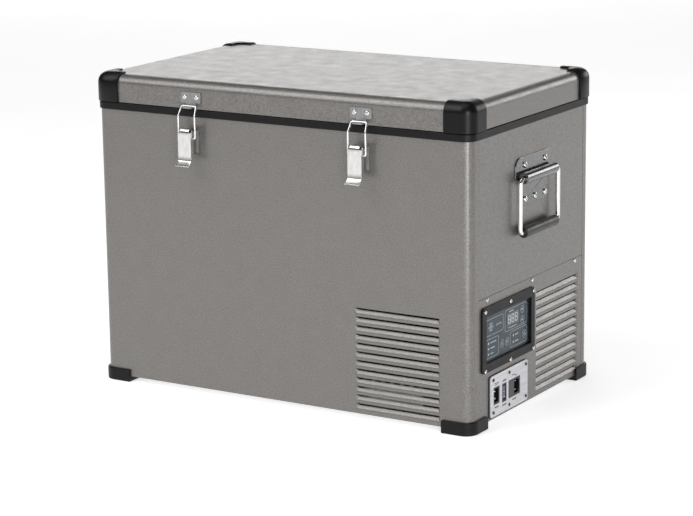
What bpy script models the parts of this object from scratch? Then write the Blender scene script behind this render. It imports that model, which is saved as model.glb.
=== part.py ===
"""Portable compressor cooler: a steel case on four plastic feet, with a foamed tub, a machine
bay, a hinged lid held by two draw latches, and a chest handle at each end.

X runs along the front to the right, Y to the back, and Z up from the floor. Everything is placed
about the middle of the case, and the parent of all the pieces moves them to the origin of the
whole object at the end.
"""

import math

import bmesh
import bpy
from mathutils import Matrix, Vector

MM = 0.001
GAP = 0.3 * MM

# case
HALF_X = 320 * MM
HALF_Y = 189 * MM
CASE_BOTTOM = 8.3 * MM
CASE_TOP = 423 * MM
CASE_RADIUS = 16 * MM
SHEET = 1.2 * MM
WALL = 38 * MM

# rim and lid
RIM_PROUD = 2.5 * MM
RIM_TOP = 434 * MM
LID_BOTTOM = 435.2 * MM
LID_TOP = 476 * MM
LID_PROUD = 1 * MM
LID_EDGE = 13.5 * MM
CAP_PROUD = 3 * MM
CAP_LEG = 45 * MM
CAP_TOP_LEG = 24 * MM
LINER_PLATE = 438 * MM
PLUG_BOTTOM = 428 * MM

# right-hand end: an upper panel over a service panel
PANEL_FRONT = -164 * MM
PANEL_BACK = 165.5 * MM
SEAM = 193 * MM

# machine bay
BAY_LEFT = 112 * MM
BAY_TOP = 200 * MM

# tub
TUB_FLOOR = 52 * MM
STEP_FLOOR = 246 * MM
STEP_LEFT = 66 * MM
TUB_RADIUS = 26 * MM

# louvres
LOUVRES = 12
LOUVRE_PITCH = 13 * MM
LOUVRE_SLOT = 3.5 * MM
LOUVRE_DROP = 8.4 * MM
LOUVRE_DEPTH = 3.6 * MM
FRONT_LOUVRE_X = (131 * MM, 270 * MM)
FRONT_LOUVRE_TOP = 167 * MM
END_LOUVRE_Y = (14 * MM, 152 * MM)
END_LOUVRE_TOP = 168 * MM

# feet
FOOT_LEG = 50 * MM
FOOT_TOP = 19.2 * MM
FOOT_PROUD = 4 * MM

# control panel
BEZEL_Y = (-159 * MM, 4 * MM)
BEZEL_Z = (83.5 * MM, 180 * MM)
BEZEL_PROUD = 3 * MM
WINDOW_Y = (-146 * MM, -7.5 * MM)
WINDOW_Z = (96.5 * MM, 165.5 * MM)
OVERLAY_FRONT = 318.5 * MM
KEYS = {
    "key_up": (-29 * MM, 151.8 * MM, 6.6 * MM),
    "key_down": (-29 * MM, 136.2 * MM, 6.6 * MM),
    "key_power": (-22.5 * MM, 113.3 * MM, 7.2 * MM),
    "key_mode": (-91.9 * MM, 114 * MM, 7 * MM),
    "key_cool": (-76.5 * MM, 114 * MM, 7 * MM),
}

# sockets
PLATE_Y = (-134 * MM, -18.5 * MM)
PLATE_Z = (13 * MM, 74.5 * MM)
DC_Y = (-125 * MM, -106.5 * MM)
DC_Z = (30.5 * MM, 56.5 * MM)
FUSE_Y = (-99 * MM, -85 * MM)
FUSE_Z = (28 * MM, 56 * MM)
AC_Y = (-79 * MM, -42.5 * MM)
AC_Z = (29 * MM, 56 * MM)

# chest handles
HANDLE_Y = 3 * MM
HANDLE_PIVOT_OUT = 9.5 * MM
HANDLE_PIVOT_Z = 349 * MM
HANDLE_HALF = 60 * MM
HANDLE_DROP = 79 * MM
BARREL_HALF = 49 * MM

# latches: "out" is the distance in front of the case's front face
LATCH_X = 146 * MM
LEVER_PIVOT_OUT = 16 * MM
LEVER_PIVOT_Z = 403 * MM
LEVER_FACE_OUT = 22 * MM
LEVER_HALF = 11.5 * MM
BAIL_PIVOT_OUT = 14.5 * MM
BAIL_PIVOT_Z = 393.5 * MM
BAIL_BAR_OUT = 7.5 * MM
BAIL_BAR_Z = 440 * MM
BAIL_WIRE = 1.5 * MM

# lid hinges
HINGE_X = 190 * MM
HINGE_AXIS_Y = 197.5 * MM
HINGE_AXIS_Z = 434.6 * MM
KNUCKLE = 5 * MM

# fan
FAN_CENTRE = Vector((270 * MM, 87 * MM, 95 * MM))

# the middle of the whole object, latch lips to hinge knuckles, lies ahead of the case's middle
CASE_MIDDLE_Y = 8.25 * MM

for old in list(bpy.data.objects):
    bpy.data.objects.remove(old, do_unlink=True)

MATERIALS = {
    # name: colour, metallic, roughness
    "painted_steel": ((0.27, 0.26, 0.24), 0.3, 0.45),
    "stainless": ((0.62, 0.61, 0.59), 0.9, 0.3),
    "chrome": ((0.8, 0.8, 0.8), 1.0, 0.1),
    "black_plastic": ((0.012, 0.012, 0.011), 0.0, 0.4),
    "grip_plastic": ((0.02, 0.02, 0.02), 0.0, 0.5),
    "white_plastic": ((0.75, 0.76, 0.76), 0.0, 0.4),
    "foam": ((0.78, 0.7, 0.45), 0.0, 0.9),
    "gasket_rubber": ((0.02, 0.02, 0.02), 0.0, 0.85),
    "aluminium": ((0.7, 0.7, 0.7), 0.9, 0.35),
    "galvanised_steel": ((0.5, 0.5, 0.5), 0.9, 0.4),
    "black_enamel": ((0.01, 0.01, 0.01), 0.3, 0.45),
    "copper": ((0.7, 0.33, 0.2), 1.0, 0.3),
    "blue_plastic": ((0.02, 0.03, 0.1), 0.0, 0.3),
    "overlay_film": ((0.05, 0.065, 0.08), 0.0, 0.3),
    "circuit_board": ((0.02, 0.12, 0.05), 0.0, 0.4),
    "plate_aluminium": ((0.55, 0.56, 0.6), 0.8, 0.4),
}


def material(name):
    """The Principled material of that name, made the first time it is asked for."""
    found = bpy.data.materials.get(name)
    if found:
        return found
    colour, metallic, roughness = MATERIALS[name]
    made = bpy.data.materials.new(name)
    made.use_nodes = True
    shader = made.node_tree.nodes["Principled BSDF"]
    shader.inputs["Base Color"].default_value = (*colour, 1)
    shader.inputs["Metallic"].default_value = metallic
    shader.inputs["Roughness"].default_value = roughness
    return made


def placed(axis, u, v, w):
    """A point from its two outline coordinates and its place along the axis."""
    return {"X": (w, u, v), "Y": (u, w, v), "Z": (u, v, w)}[axis]


def loft(name, levels, axis, finish):
    """A closed solid through outlines of equal length, given as (place along the axis, points)."""
    bm = bmesh.new()
    rings = [[bm.verts.new(placed(axis, u, v, w)) for u, v in points] for w, points in levels]
    count = len(rings[0])
    for lower, upper in zip(rings, rings[1:]):
        for i in range(count):
            j = (i + 1) % count
            bm.faces.new((lower[i], lower[j], upper[j], upper[i]))
    bm.faces.new(rings[0][::-1])
    bm.faces.new(rings[-1])
    bmesh.ops.recalc_face_normals(bm, faces=bm.faces)
    mesh = bpy.data.meshes.new(name)
    bm.to_mesh(mesh)
    bm.free()
    made = bpy.data.objects.new(name, mesh)
    bpy.context.collection.objects.link(made)
    mesh.materials.append(material(finish))
    return made


def prism(name, points, low, high, axis, finish):
    return loft(name, [(low, points), (high, points)], axis, finish)


def rounded(u0, u1, v0, v1, radius=0.0, segments=4):
    """A rectangle's outline, anticlockwise, with arcs for corners."""
    if radius <= 0:
        return [(u1, v1), (u0, v1), (u0, v0), (u1, v0)]
    corners = ((u1, v1, -1, -1, 0), (u0, v1, 1, -1, 90), (u0, v0, 1, 1, 180), (u1, v0, -1, 1, 270))
    points = []
    for u, v, side_u, side_v, start in corners:
        for step in range(segments + 1):
            turn = math.radians(start + 90 * step / segments)
            cu, cv = u + side_u * radius, v + side_v * radius
            points.append((cu + radius * math.cos(turn), cv + radius * math.sin(turn)))
    return points


def about(half_u, half_v, radius=0.0, segments=4):
    """A rounded rectangle about the middle."""
    return rounded(-half_u, half_u, -half_v, half_v, radius, segments)


def circle(u, v, radius, sides=16):
    turns = [math.tau * i / sides for i in range(sides)]
    return [(u + radius * math.cos(t), v + radius * math.sin(t)) for t in turns]


def box(name, x, y, z, finish="painted_steel"):
    return prism(name, rounded(x[0], x[1], y[0], y[1]), z[0], z[1], "Z", finish)


def combine(target, tool, operation):
    """Cuts, joins or keeps the common part of two solids, and deletes the tool."""
    change = target.modifiers.new(operation.lower(), "BOOLEAN")
    change.operation = operation
    change.solver = "EXACT"
    change.object = tool
    with bpy.context.temp_override(object=target, active_object=target):
        bpy.ops.object.modifier_apply(modifier=change.name)
    bpy.data.objects.remove(tool, do_unlink=True)
    return target


def cut(target, *tools):
    for tool in tools:
        combine(target, tool, "DIFFERENCE")
    return target


def join(target, *tools):
    for tool in tools:
        combine(target, tool, "UNION")
    return target


def smooth(target, degrees=40):
    target.data.shade_smooth()
    target.data.set_sharp_from_angle(angle=math.radians(degrees))
    return target


def filleted(points, radius, steps=3):
    """A path through the points, with each inner corner turned on an arc-like curve."""
    path = [Vector(points[0])]
    for before, corner, after in zip(points, points[1:], points[2:]):
        corner = Vector(corner)
        start = corner + (Vector(before) - corner).normalized() * radius
        end = corner + (Vector(after) - corner).normalized() * radius
        for i in range(steps + 1):
            t = i / steps
            path.append(start * (1 - t) ** 2 + corner * 2 * t * (1 - t) + end * t**2)
    path.append(Vector(points[-1]))
    return path


def rod(name, points, radius, finish, bend=4 * MM, resolution=2):
    """A round bar bent along the points, as a curve with filled ends."""
    path = filleted(points, bend)
    curve = bpy.data.curves.new(name, "CURVE")
    curve.dimensions = "3D"
    curve.bevel_depth = radius
    curve.bevel_resolution = resolution
    curve.use_fill_caps = True
    spline = curve.splines.new("POLY")
    spline.points.add(len(path) - 1)
    for point, place in zip(spline.points, path):
        point.co = (*place, 1)
    curve.materials.append(material(finish))
    made = bpy.data.objects.new(name, curve)
    bpy.context.collection.objects.link(made)
    return made


case_frame = bpy.data.objects.new("case_frame", None)
bpy.context.collection.objects.link(case_frame)


def on_case(*pieces):
    for piece in pieces:
        piece.parent = case_frame


def on_axis(name, pivot, *pieces):
    """An empty on a joint's axis, which carries the pieces that move about it."""
    carrier = bpy.data.objects.new(name, None)
    bpy.context.collection.objects.link(carrier)
    carrier.location = pivot
    carrier.parent = case_frame
    for piece in pieces:
        piece.parent = carrier
        piece.matrix_parent_inverse = Matrix.Translation(-Vector(pivot))
    return carrier


# ---------------------------------------------------------------- case


def louvre(axis, face, inward, span, top):
    """One louvre pressed into a sheet: a ramp that leans in to a slot, with a wall at each end.

    Returns the hole to cut in the sheet, and the scoop to join to it.
    """
    low, slot = top - LOUVRE_DROP, top - LOUVRE_SLOT
    skin, deep, sheet = 0.1 * MM, LOUVRE_DEPTH, 1.1 * MM

    def across(name, points, ends):
        """A prism along the louvre from points given as (depth, height)."""
        flat = [(face + inward * depth, z) for depth, z in points]
        return prism(name, flat, *ends, {"X": "Y", "Y": "X"}[axis], "painted_steel")

    hole = across("hole", [(-sheet, low), (3 * sheet, low), (3 * sheet, top), (-sheet, top)], span)
    block = [
        (skin, low - MM),
        (sheet, low - MM),
        (deep + sheet, slot),
        (deep + sheet, top - skin),
        (skin, top - skin),
    ]
    scoop = across("scoop", block, grown(span, MM))
    space = [
        (-5 * MM, low),
        (skin, low),
        (deep, slot),
        (20 * MM, slot),
        (20 * MM, top + MM),
        (-5 * MM, top + MM),
    ]
    return hole, cut(scoop, across("space", space, span))


def louvred(panel, axis, face, inward, span, top):
    """A panel with its column of louvres."""
    for row in range(LOUVRES):
        hole, scoop = louvre(axis, face, inward, span, top - row * LOUVRE_PITCH)
        cut(panel, hole)
        join(panel, scoop)
    return panel


def base_pan():
    outer = about(HALF_X - SHEET - GAP, HALF_Y - SHEET - GAP, CASE_RADIUS - SHEET - GAP)
    inner = about(HALF_X - 2 * SHEET - GAP, HALF_Y - 2 * SHEET - GAP, CASE_RADIUS - 2 * SHEET - GAP)
    pan = prism("base_pan", outer, CASE_BOTTOM, 15 * MM, "Z", "galvanised_steel")
    return cut(pan, prism("hollow", inner, CASE_BOTTOM + 1.5 * MM, 30 * MM, "Z", "galvanised_steel"))


def body_shell():
    """The wrapped sheet: front, left end, back, and narrow returns at the right-hand corners."""
    shell = prism(
        "body_shell", about(HALF_X, HALF_Y, CASE_RADIUS, 5), CASE_BOTTOM, CASE_TOP, "Z", "painted_steel"
    )
    inside = about(HALF_X - SHEET, HALF_Y - SHEET, CASE_RADIUS - SHEET, 5)
    opening_y = (PANEL_FRONT - GAP, PANEL_BACK + GAP)
    cut(
        shell,
        prism("inside", inside, 0, 450 * MM, "Z", "painted_steel"),
        box("opening", (300 * MM, 330 * MM), opening_y, (0, 450 * MM)),
    )
    return louvred(shell, "Y", -HALF_Y, 1, FRONT_LOUVRE_X, FRONT_LOUVRE_TOP)


def side_panel():
    return box(
        "side_panel",
        (HALF_X - SHEET, HALF_X),
        (PANEL_FRONT, PANEL_BACK),
        (SEAM + GAP, CASE_TOP),
    )


def service_panel():
    panel = box(
        "service_panel",
        (HALF_X - SHEET, HALF_X),
        (PANEL_FRONT, PANEL_BACK),
        (CASE_BOTTOM, SEAM),
    )
    sockets = (DC_Y[0] - 3 * MM, AC_Y[1] + 3 * MM), (FUSE_Z[0] - 2.5 * MM, DC_Z[1] + 2.5 * MM)
    through = (HALF_X - 5 * MM, HALF_X + 5 * MM)
    cut(
        panel,
        box("window", through, grown(WINDOW_Y, 2.6 * MM), grown(WINDOW_Z, 2.6 * MM)),
        box("socket_hole", through, *sockets),
    )
    return louvred(panel, "X", HALF_X, -1, END_LOUVRE_Y, END_LOUVRE_TOP)


def grown(span, by):
    return (span[0] - by, span[1] + by)


def rim_frame():
    """The black moulding that closes the top of the walls, round the mouth of the tub."""
    half_x, half_y, radius = HALF_X + RIM_PROUD, HALF_Y + RIM_PROUD, CASE_RADIUS + RIM_PROUD
    ease = MM
    wide = about(half_x, half_y, radius, 5)
    narrow = about(half_x - ease, half_y - ease, radius - ease, 5)
    levels = [(CASE_TOP + GAP, wide), (RIM_TOP - ease, wide), (RIM_TOP, narrow)]
    frame = loft("rim_frame", levels, "Z", "black_plastic")
    mouth = about(HALF_X - WALL, HALF_Y - WALL, TUB_RADIUS)
    return cut(frame, prism("mouth", mouth, 400 * MM, 450 * MM, "Z", "black_plastic"))


def deep_outline(grow):
    """The deep part of the tub in plan, grown on all sides."""
    low, high = -(HALF_X - WALL) - grow, STEP_LEFT + grow
    return rounded(low, high, -(HALF_Y - WALL) - grow, HALF_Y - WALL + grow, TUB_RADIUS + grow)


def tub(name, grow, top, finish):
    """The stepped space of the tub, grown on all sides: deep on the left, shallow over the bay."""
    deep = prism(name, deep_outline(grow), TUB_FLOOR - grow, STEP_FLOOR + 20 * MM, "Z", finish)
    mouth = about(HALF_X - WALL + grow, HALF_Y - WALL + grow, TUB_RADIUS + grow)
    return join(deep, prism("shallow", mouth, STEP_FLOOR - grow, top, "Z", finish))


def inner_liner():
    liner = tub("inner_liner", SHEET, CASE_TOP, "stainless")
    flange = about(HALF_X - WALL + 14 * MM, HALF_Y - WALL + 14 * MM, TUB_RADIUS + 14 * MM)
    join(liner, prism("flange", flange, CASE_TOP - 1.5 * MM, CASE_TOP, "Z", "stainless"))
    return cut(liner, tub("inside", 0, 450 * MM, "stainless"))


EVAPORATOR_Z = (84 * MM, 228 * MM)
SUCTION = Vector((0, 88 * MM, 96 * MM))


def evaporator():
    """The flat sleeve of evaporator channels, wrapped round the deep part of the tub."""
    sleeve = prism("evaporator", deep_outline(SHEET + GAP + 2 * MM), *EVAPORATOR_Z, "Z", "aluminium")
    return cut(sleeve, prism("inside", deep_outline(SHEET + GAP), 0, 300 * MM, "Z", "aluminium"))


def insulation_foam():
    outer = about(HALF_X - 3 * MM, HALF_Y - 3 * MM, CASE_RADIUS - 3 * MM)
    foam = prism("insulation_foam", outer, 10.1 * MM, CASE_TOP - 1.8 * MM, "Z", "foam")
    sleeve = deep_outline(SHEET + 2 * GAP + 2 * MM)
    bay = (BAY_LEFT - GAP, 340 * MM), (-200 * MM, 200 * MM), (0, BAY_TOP + SHEET + GAP)
    pipe = circle(SUCTION.y, SUCTION.z, 4.5 * MM, 12)
    return cut(
        foam,
        box("bay", *bay),
        tub("tub", SHEET + GAP, 450 * MM, "foam"),
        prism("sleeve", sleeve, EVAPORATOR_Z[0] - GAP, EVAPORATOR_Z[1] + GAP, "Z", "foam"),
        prism("pipe", pipe, 50 * MM, 120 * MM, "X", "foam"),
    )


def corner(side_x, side_y, half_x, half_y, leg, radius, segments=5):
    """A square corner of the case in plan, with its outer corner on an arc."""
    inner_x, inner_y = half_x - leg, half_y - leg
    points = [(inner_x, inner_y), (half_x, inner_y)]
    for step in range(segments + 1):
        turn = math.radians(90 * step / segments)
        points.append(
            (
                half_x - radius + radius * math.cos(turn),
                half_y - radius + radius * math.sin(turn),
            )
        )
    points.append((inner_x, half_y))
    return [(side_x * x, side_y * y) for x, y in points]


CORNERS = {
    "front_left": (-1, -1),
    "front_right": (1, -1),
    "back_left": (-1, 1),
    "back_right": (1, 1),
}


def foot(name, side_x, side_y):
    """A plastic corner foot: a pad under the pan, and a wall that wraps the case's corner."""
    half_x, half_y, radius = HALF_X + FOOT_PROUD, HALF_Y + FOOT_PROUD, CASE_RADIUS + FOOT_PROUD
    outer = corner(side_x, side_y, half_x, half_y, FOOT_LEG, radius)
    inner = corner(side_x, side_y, HALF_X + GAP, HALF_Y + GAP, 70 * MM, CASE_RADIUS + GAP)
    made = prism("foot_" + name, outer, 0, FOOT_TOP, "Z", "black_plastic")
    return cut(made, prism("seat", inner, CASE_BOTTOM - GAP, 40 * MM, "Z", "black_plastic"))


on_case(
    base_pan(),
    body_shell(),
    side_panel(),
    service_panel(),
    rim_frame(),
    inner_liner(),
    evaporator(),
    insulation_foam(),
    *(foot(name, *sides) for name, sides in CORNERS.items()),
)

# ---------------------------------------------------------------- machine bay


def bulkhead():
    """The bent sheet that parts the machine bay from the foam."""
    right, low = HALF_X - CASE_RADIUS, CASE_BOTTOM + 1.8 * MM
    profile = [
        (BAY_LEFT, low),
        (BAY_LEFT + SHEET, low),
        (BAY_LEFT + SHEET, BAY_TOP),
        (right, BAY_TOP),
        (right, BAY_TOP + SHEET),
        (BAY_LEFT, BAY_TOP + SHEET),
    ]
    sheet = prism("bulkhead", profile, -186 * MM, 186 * MM, "Y", "galvanised_steel")
    hole = circle(SUCTION.y, SUCTION.z, 4.5 * MM, 12)
    return cut(sheet, prism("hole", hole, 100 * MM, 130 * MM, "X", "galvanised_steel"))


COMPRESSOR_X, COMPRESSOR_Y = 190 * MM, 88 * MM


def compressor():
    """The welded steel dome of the compressor, turned about an upright axis."""
    profile = [
        (24, 40),
        (29, 54),
        (44, 60),
        (80, 61),
        (80, 64),
        (84, 64),
        (84, 61),
        (112, 59),
        (132, 50),
        (143, 34),
        (147, 14),
    ]
    levels = [
        (z * MM, circle(COMPRESSOR_X, COMPRESSOR_Y, radius * MM, 20)) for z, radius in profile
    ]
    return smooth(loft("compressor", levels, "Z", "black_enamel"))


def compressor_bracket():
    low, high = 10.1 * MM, 22 * MM
    left, right, foot_width, sheet = 122 * MM, 258 * MM, 14 * MM, 2 * MM
    profile = [
        (left, low),
        (left + foot_width, low),
        (left + foot_width, high - sheet),
        (right - foot_width, high - sheet),
        (right - foot_width, low),
        (right, low),
        (right, low + sheet),
        (right - foot_width + sheet, low + sheet),
        (right - foot_width + sheet, high),
        (left + foot_width - sheet, high),
        (left + foot_width - sheet, low + sheet),
        (left, low + sheet),
    ]
    return prism("compressor_bracket", profile, 30 * MM, 146 * MM, "Y", "galvanised_steel")


def power_supply():
    """The mains converter: a closed case with cooling ribs along its top."""
    x, y, z = (125 * MM, 235 * MM), (-176 * MM, -66 * MM), (10.1 * MM, 50 * MM)
    rib_height, ribs = 8 * MM, 7
    pitch = (x[1] - x[0]) / ribs
    profile = [(x[0], z[0]), (x[1], z[0])]
    for rib in range(ribs):
        right = x[1] - rib * pitch
        profile += [
            (right, z[1] + rib_height),
            (right - 0.4 * pitch, z[1] + rib_height),
            (right - 0.4 * pitch, z[1]),
        ]
        if rib < ribs - 1:
            profile.append((right - pitch, z[1]))
    profile.append((x[0], z[1]))
    return prism("power_supply", profile, *y, "Y", "aluminium")


def compressor_controller():
    points = rounded(138 * MM, 252 * MM, -36 * MM, 8 * MM, 5 * MM, 3)
    return prism("compressor_controller", points, 10.1 * MM, 66 * MM, "Z", "black_plastic")


def condenser():
    """The finned block behind the end louvres, its fins upright and facing out."""
    back, root, tip = 287 * MM, 291 * MM, 312 * MM
    y0, y1, fins = 20 * MM, 154 * MM, 17
    pitch = (y1 - y0) / (fins - 0.5)
    profile = [(back, y0)]
    for fin in range(fins):
        start = y0 + fin * pitch
        profile += [
            (tip, start),
            (tip, start + 0.5 * pitch),
            (root, start + 0.5 * pitch),
            (root, start + pitch),
        ]
    profile = profile[:-2] + [(back, y1)]
    return prism("condenser", profile, 24 * MM, 166 * MM, "Z", "aluminium")


FAN_BACK, FAN_FRONT = 257 * MM, 282 * MM
FAN_HALF = 60 * MM
FAN_RADIUS = 55 * MM


def fan_frame():
    """The square frame of an axial fan, with a hub held on four arms at the back."""
    y, z = FAN_CENTRE.y, FAN_CENTRE.z
    square = rounded(y - FAN_HALF, y + FAN_HALF, z - FAN_HALF, z + FAN_HALF, 6 * MM, 3)
    frame = prism("fan_frame", square, FAN_BACK, FAN_FRONT, "X", "black_plastic")
    bore = circle(y, z, FAN_RADIUS + 2 * MM, 32)
    arm = 4 * MM
    reach = FAN_RADIUS + 3.5 * MM
    cut(frame, prism("bore", bore, 200 * MM, 300 * MM, "X", "black_plastic"))
    hub = prism("hub", circle(y, z, 19 * MM, 20), FAN_BACK, FAN_BACK + 3 * MM, "X", "black_plastic")
    across = rounded(y - reach, y + reach, z - arm, z + arm)
    upright = rounded(y - arm, y + arm, z - reach, z + reach)
    arms_x = (FAN_BACK + 0.5 * MM, FAN_BACK + 2.5 * MM)
    join(
        hub,
        prism("arm_across", across, *arms_x, "X", "black_plastic"),
        prism("arm_upright", upright, *arms_x, "X", "black_plastic"),
    )
    return join(frame, hub)


def fan_rotor():
    """A hub with seven pitched blades."""
    low, high, blades = FAN_BACK + 4 * MM, FAN_FRONT - 2 * MM, 7
    hub = prism(
        "fan_rotor", circle(FAN_CENTRE.y, FAN_CENTRE.z, 18 * MM, 20), low, high, "X", "black_plastic"
    )
    for blade in range(blades):
        profile = [
            (low + 1 * MM, -12 * MM),
            (low + 3 * MM, -12 * MM),
            (high - 1 * MM, 12 * MM),
            (high - 3 * MM, 12 * MM),
        ]
        vane = prism("blade", profile, 15 * MM, FAN_RADIUS - 1.5 * MM, "Z", "black_plastic")
        turn = Matrix.Rotation(math.tau * blade / blades, 4, "X")
        vane.data.transform(Matrix.Translation((0, FAN_CENTRE.y, FAN_CENTRE.z)) @ turn)
        join(hub, vane)
    return hub


def discharge_pipe():
    radius = 3 * MM
    start = Vector((COMPRESSOR_X, COMPRESSOR_Y - 62 * MM, 98 * MM))
    points = [
        start,
        start + Vector((0, -20 * MM, 0)),
        start + Vector((0, -20 * MM, 60 * MM)),
        Vector((299 * MM, start.y - 20 * MM, 158 * MM)),
        Vector((299 * MM, 19 * MM, 158 * MM)),
    ]
    return rod("discharge_pipe", points, radius, "copper", bend=9 * MM)


def suction_pipe():
    start = STEP_LEFT + SHEET + 2 * GAP + 2 * MM
    end = COMPRESSOR_X - 61 * MM
    points = [(start, SUCTION.y, SUCTION.z), (100 * MM, SUCTION.y, SUCTION.z), (end, SUCTION.y, SUCTION.z)]
    return rod("suction_pipe", points, 4 * MM, "copper")


on_case(
    bulkhead(),
    compressor(),
    compressor_bracket(),
    power_supply(),
    compressor_controller(),
    condenser(),
    fan_frame(),
    discharge_pipe(),
    suction_pipe(),
)
on_axis("fan_axis", FAN_CENTRE, fan_rotor())

# ---------------------------------------------------------------- control panel and sockets


def control_bezel():
    """A flanged frame with a sleeve that reaches in through the panel and holds the overlay."""
    front, ease = HALF_X + GAP + BEZEL_PROUD, MM
    wide = rounded(*BEZEL_Y, *BEZEL_Z, 7 * MM)
    eased = rounded(*grown(BEZEL_Y, -ease), *grown(BEZEL_Z, -ease), 6 * MM)
    levels = [(HALF_X + GAP, wide), (front - ease, wide), (front, eased)]
    frame = loft("control_bezel", levels, "X", "black_plastic")
    sleeve = rounded(*grown(WINDOW_Y, 2 * MM), *grown(WINDOW_Z, 2 * MM))
    window = rounded(*WINDOW_Y, *WINDOW_Z)
    join(frame, prism("sleeve", sleeve, 311 * MM, front - MM, "X", "black_plastic"))
    return cut(frame, prism("window", window, 300 * MM, 330 * MM, "X", "black_plastic"))


def control_overlay():
    inside = rounded(*grown(WINDOW_Y, -GAP), *grown(WINDOW_Z, -GAP))
    film = prism("control_overlay", inside, OVERLAY_FRONT - 1.5 * MM, OVERLAY_FRONT, "X", "overlay_film")
    for y, z, radius in KEYS.values():
        hole = circle(y, z, radius + GAP, 20)
        cut(film, prism("hole", hole, 300 * MM, 330 * MM, "X", "overlay_film"))
    return film


def display_board():
    inside = rounded(*grown(WINDOW_Y, -0.5 * MM), *grown(WINDOW_Z, -0.5 * MM))
    return prism("display_board", inside, 311.4 * MM, 313 * MM, "X", "circuit_board")


def key(name, y, z, radius):
    points = circle(y, z, radius, 20)
    front = OVERLAY_FRONT + 0.3 * MM
    return prism(name, points, front - 2.8 * MM, front, "X", "overlay_film")


def power_plate():
    """The plate round the sockets, with an opening for each."""
    plate = prism(
        "power_plate",
        rounded(*PLATE_Y, *PLATE_Z, 4 * MM),
        HALF_X + GAP,
        HALF_X + BEZEL_PROUD,
        "X",
        "plate_aluminium",
    )
    for y, z in ((DC_Y, DC_Z), (FUSE_Y, FUSE_Z), (AC_Y, AC_Z)):
        cut(plate, prism("opening", rounded(*y, *z), 310 * MM, 330 * MM, "X", "plate_aluminium"))
    return plate


def socket_block(name, y, z, depth, recess_y, recess_z, recess_depth, finish, front=2.6 * MM):
    """A moulded socket with a recess in its face."""
    face = HALF_X + front
    outline = rounded(*grown(y, -GAP), *grown(z, -GAP), 1.5 * MM, 2)
    block = prism(name, outline, face - depth, face, "X", finish)
    recess = rounded(*recess_y, *recess_z, 2 * MM, 2)
    return cut(block, prism("recess", recess, face - recess_depth, face + 5 * MM, "X", finish))


def pin(y, z, radius, start, end, finish):
    return prism("pin", circle(y, z, radius, 8), start, end, "X", finish)


def dc_socket():
    socket = socket_block(
        "dc_socket",
        DC_Y,
        DC_Z,
        30 * MM,
        grown(DC_Y, -2.6 * MM),
        grown(DC_Z, -2.6 * MM),
        20 * MM,
        "black_plastic",
    )
    middle = sum(DC_Y) / 2
    for z in (38 * MM, 49 * MM):
        join(socket, pin(middle, z, 1.4 * MM, 300 * MM, 317 * MM, "black_plastic"))
    return socket


def fuse_holder():
    """A blade fuse's holder, its recess nearly filled by the fuse's head."""
    holder = socket_block(
        "fuse_holder",
        FUSE_Y,
        FUSE_Z,
        24 * MM,
        grown(FUSE_Y, -2 * MM),
        grown(FUSE_Z, -2.5 * MM),
        4.5 * MM,
        "blue_plastic",
    )
    middle = sum(FUSE_Y) / 2
    head = (middle - 2.5 * MM, middle + 2.5 * MM), (34 * MM, 50 * MM)
    return join(holder, box("head", (314 * MM, 321.4 * MM), *head))


def ac_inlet():
    """The mains inlet: a fuse drawer on the left, and a pin well on the right."""
    well_y = (-61 * MM, -45.5 * MM)
    inlet = socket_block(
        "ac_inlet", AC_Y, AC_Z, 32 * MM, well_y, grown(AC_Z, -3 * MM), 18 * MM, "black_plastic"
    )
    for y, z in ((-50.5 * MM, 49 * MM), (-50.5 * MM, 36 * MM), (-55.5 * MM, 42.5 * MM)):
        join(inlet, pin(y, z, 1.2 * MM, 303 * MM, 318 * MM, "black_plastic"))
    return inlet


on_case(
    control_bezel(),
    control_overlay(),
    display_board(),
    power_plate(),
    dc_socket(),
    fuse_holder(),
    ac_inlet(),
)
for key_name, (key_y, key_z, key_radius) in KEYS.items():
    on_axis(key_name + "_axis", (OVERLAY_FRONT, key_y, key_z), key(key_name, key_y, key_z, key_radius))

# ---------------------------------------------------------------- chest handles


def handle_plate(name, side):
    """A pressed plate with the barrel that the bail turns in."""
    half, shoulder, waist = HANDLE_HALF, 46 * MM, 44 * MM
    top, bottom, corner_z = 378 * MM, 306 * MM, 361 * MM
    outline = [(-half, 352 * MM), (-half, corner_z)]
    steps = 4
    for i in range(steps + 1):
        turn = math.radians(180 - 90 * i / steps)
        outline.append(
            (-shoulder + (half - shoulder) * math.cos(turn), corner_z + (top - corner_z) * math.sin(turn))
        )
    outline += [(-u, v) for u, v in reversed(outline)]
    foot_radius = 10 * MM
    lower = [(waist, 346 * MM)]
    for i in range(steps + 1):
        turn = math.radians(-90 * i / steps)
        lower.append(
            (
                waist - foot_radius + foot_radius * math.cos(turn),
                bottom + foot_radius + foot_radius * math.sin(turn),
            )
        )
    outline += lower + [(-u, v) for u, v in reversed(lower)]
    points = [(HANDLE_Y + u, v) for u, v in dict.fromkeys(outline)]
    inner, outer = side * (HALF_X + GAP), side * (HALF_X + 2.1 * MM)
    plate = prism(name, points, min(inner, outer), max(inner, outer), "X", "chrome")
    pivot_x = side * (HALF_X + HANDLE_PIVOT_OUT)
    barrel = prism(
        "barrel",
        circle(pivot_x, HANDLE_PIVOT_Z, 8 * MM, 16),
        HANDLE_Y - BARREL_HALF,
        HANDLE_Y + BARREL_HALF,
        "Y",
        "chrome",
    )
    join(plate, barrel)
    bore = circle(pivot_x, HANDLE_PIVOT_Z, 4 * MM, 12)
    for end in (-1, 1):
        mouth, depth = HANDLE_Y + end * (BARREL_HALF + 5 * MM), HANDLE_Y + end * 34 * MM
        cut(plate, prism("bore", bore, min(mouth, depth), max(mouth, depth), "Y", "chrome"))
    return smooth(plate, 35)


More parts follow.
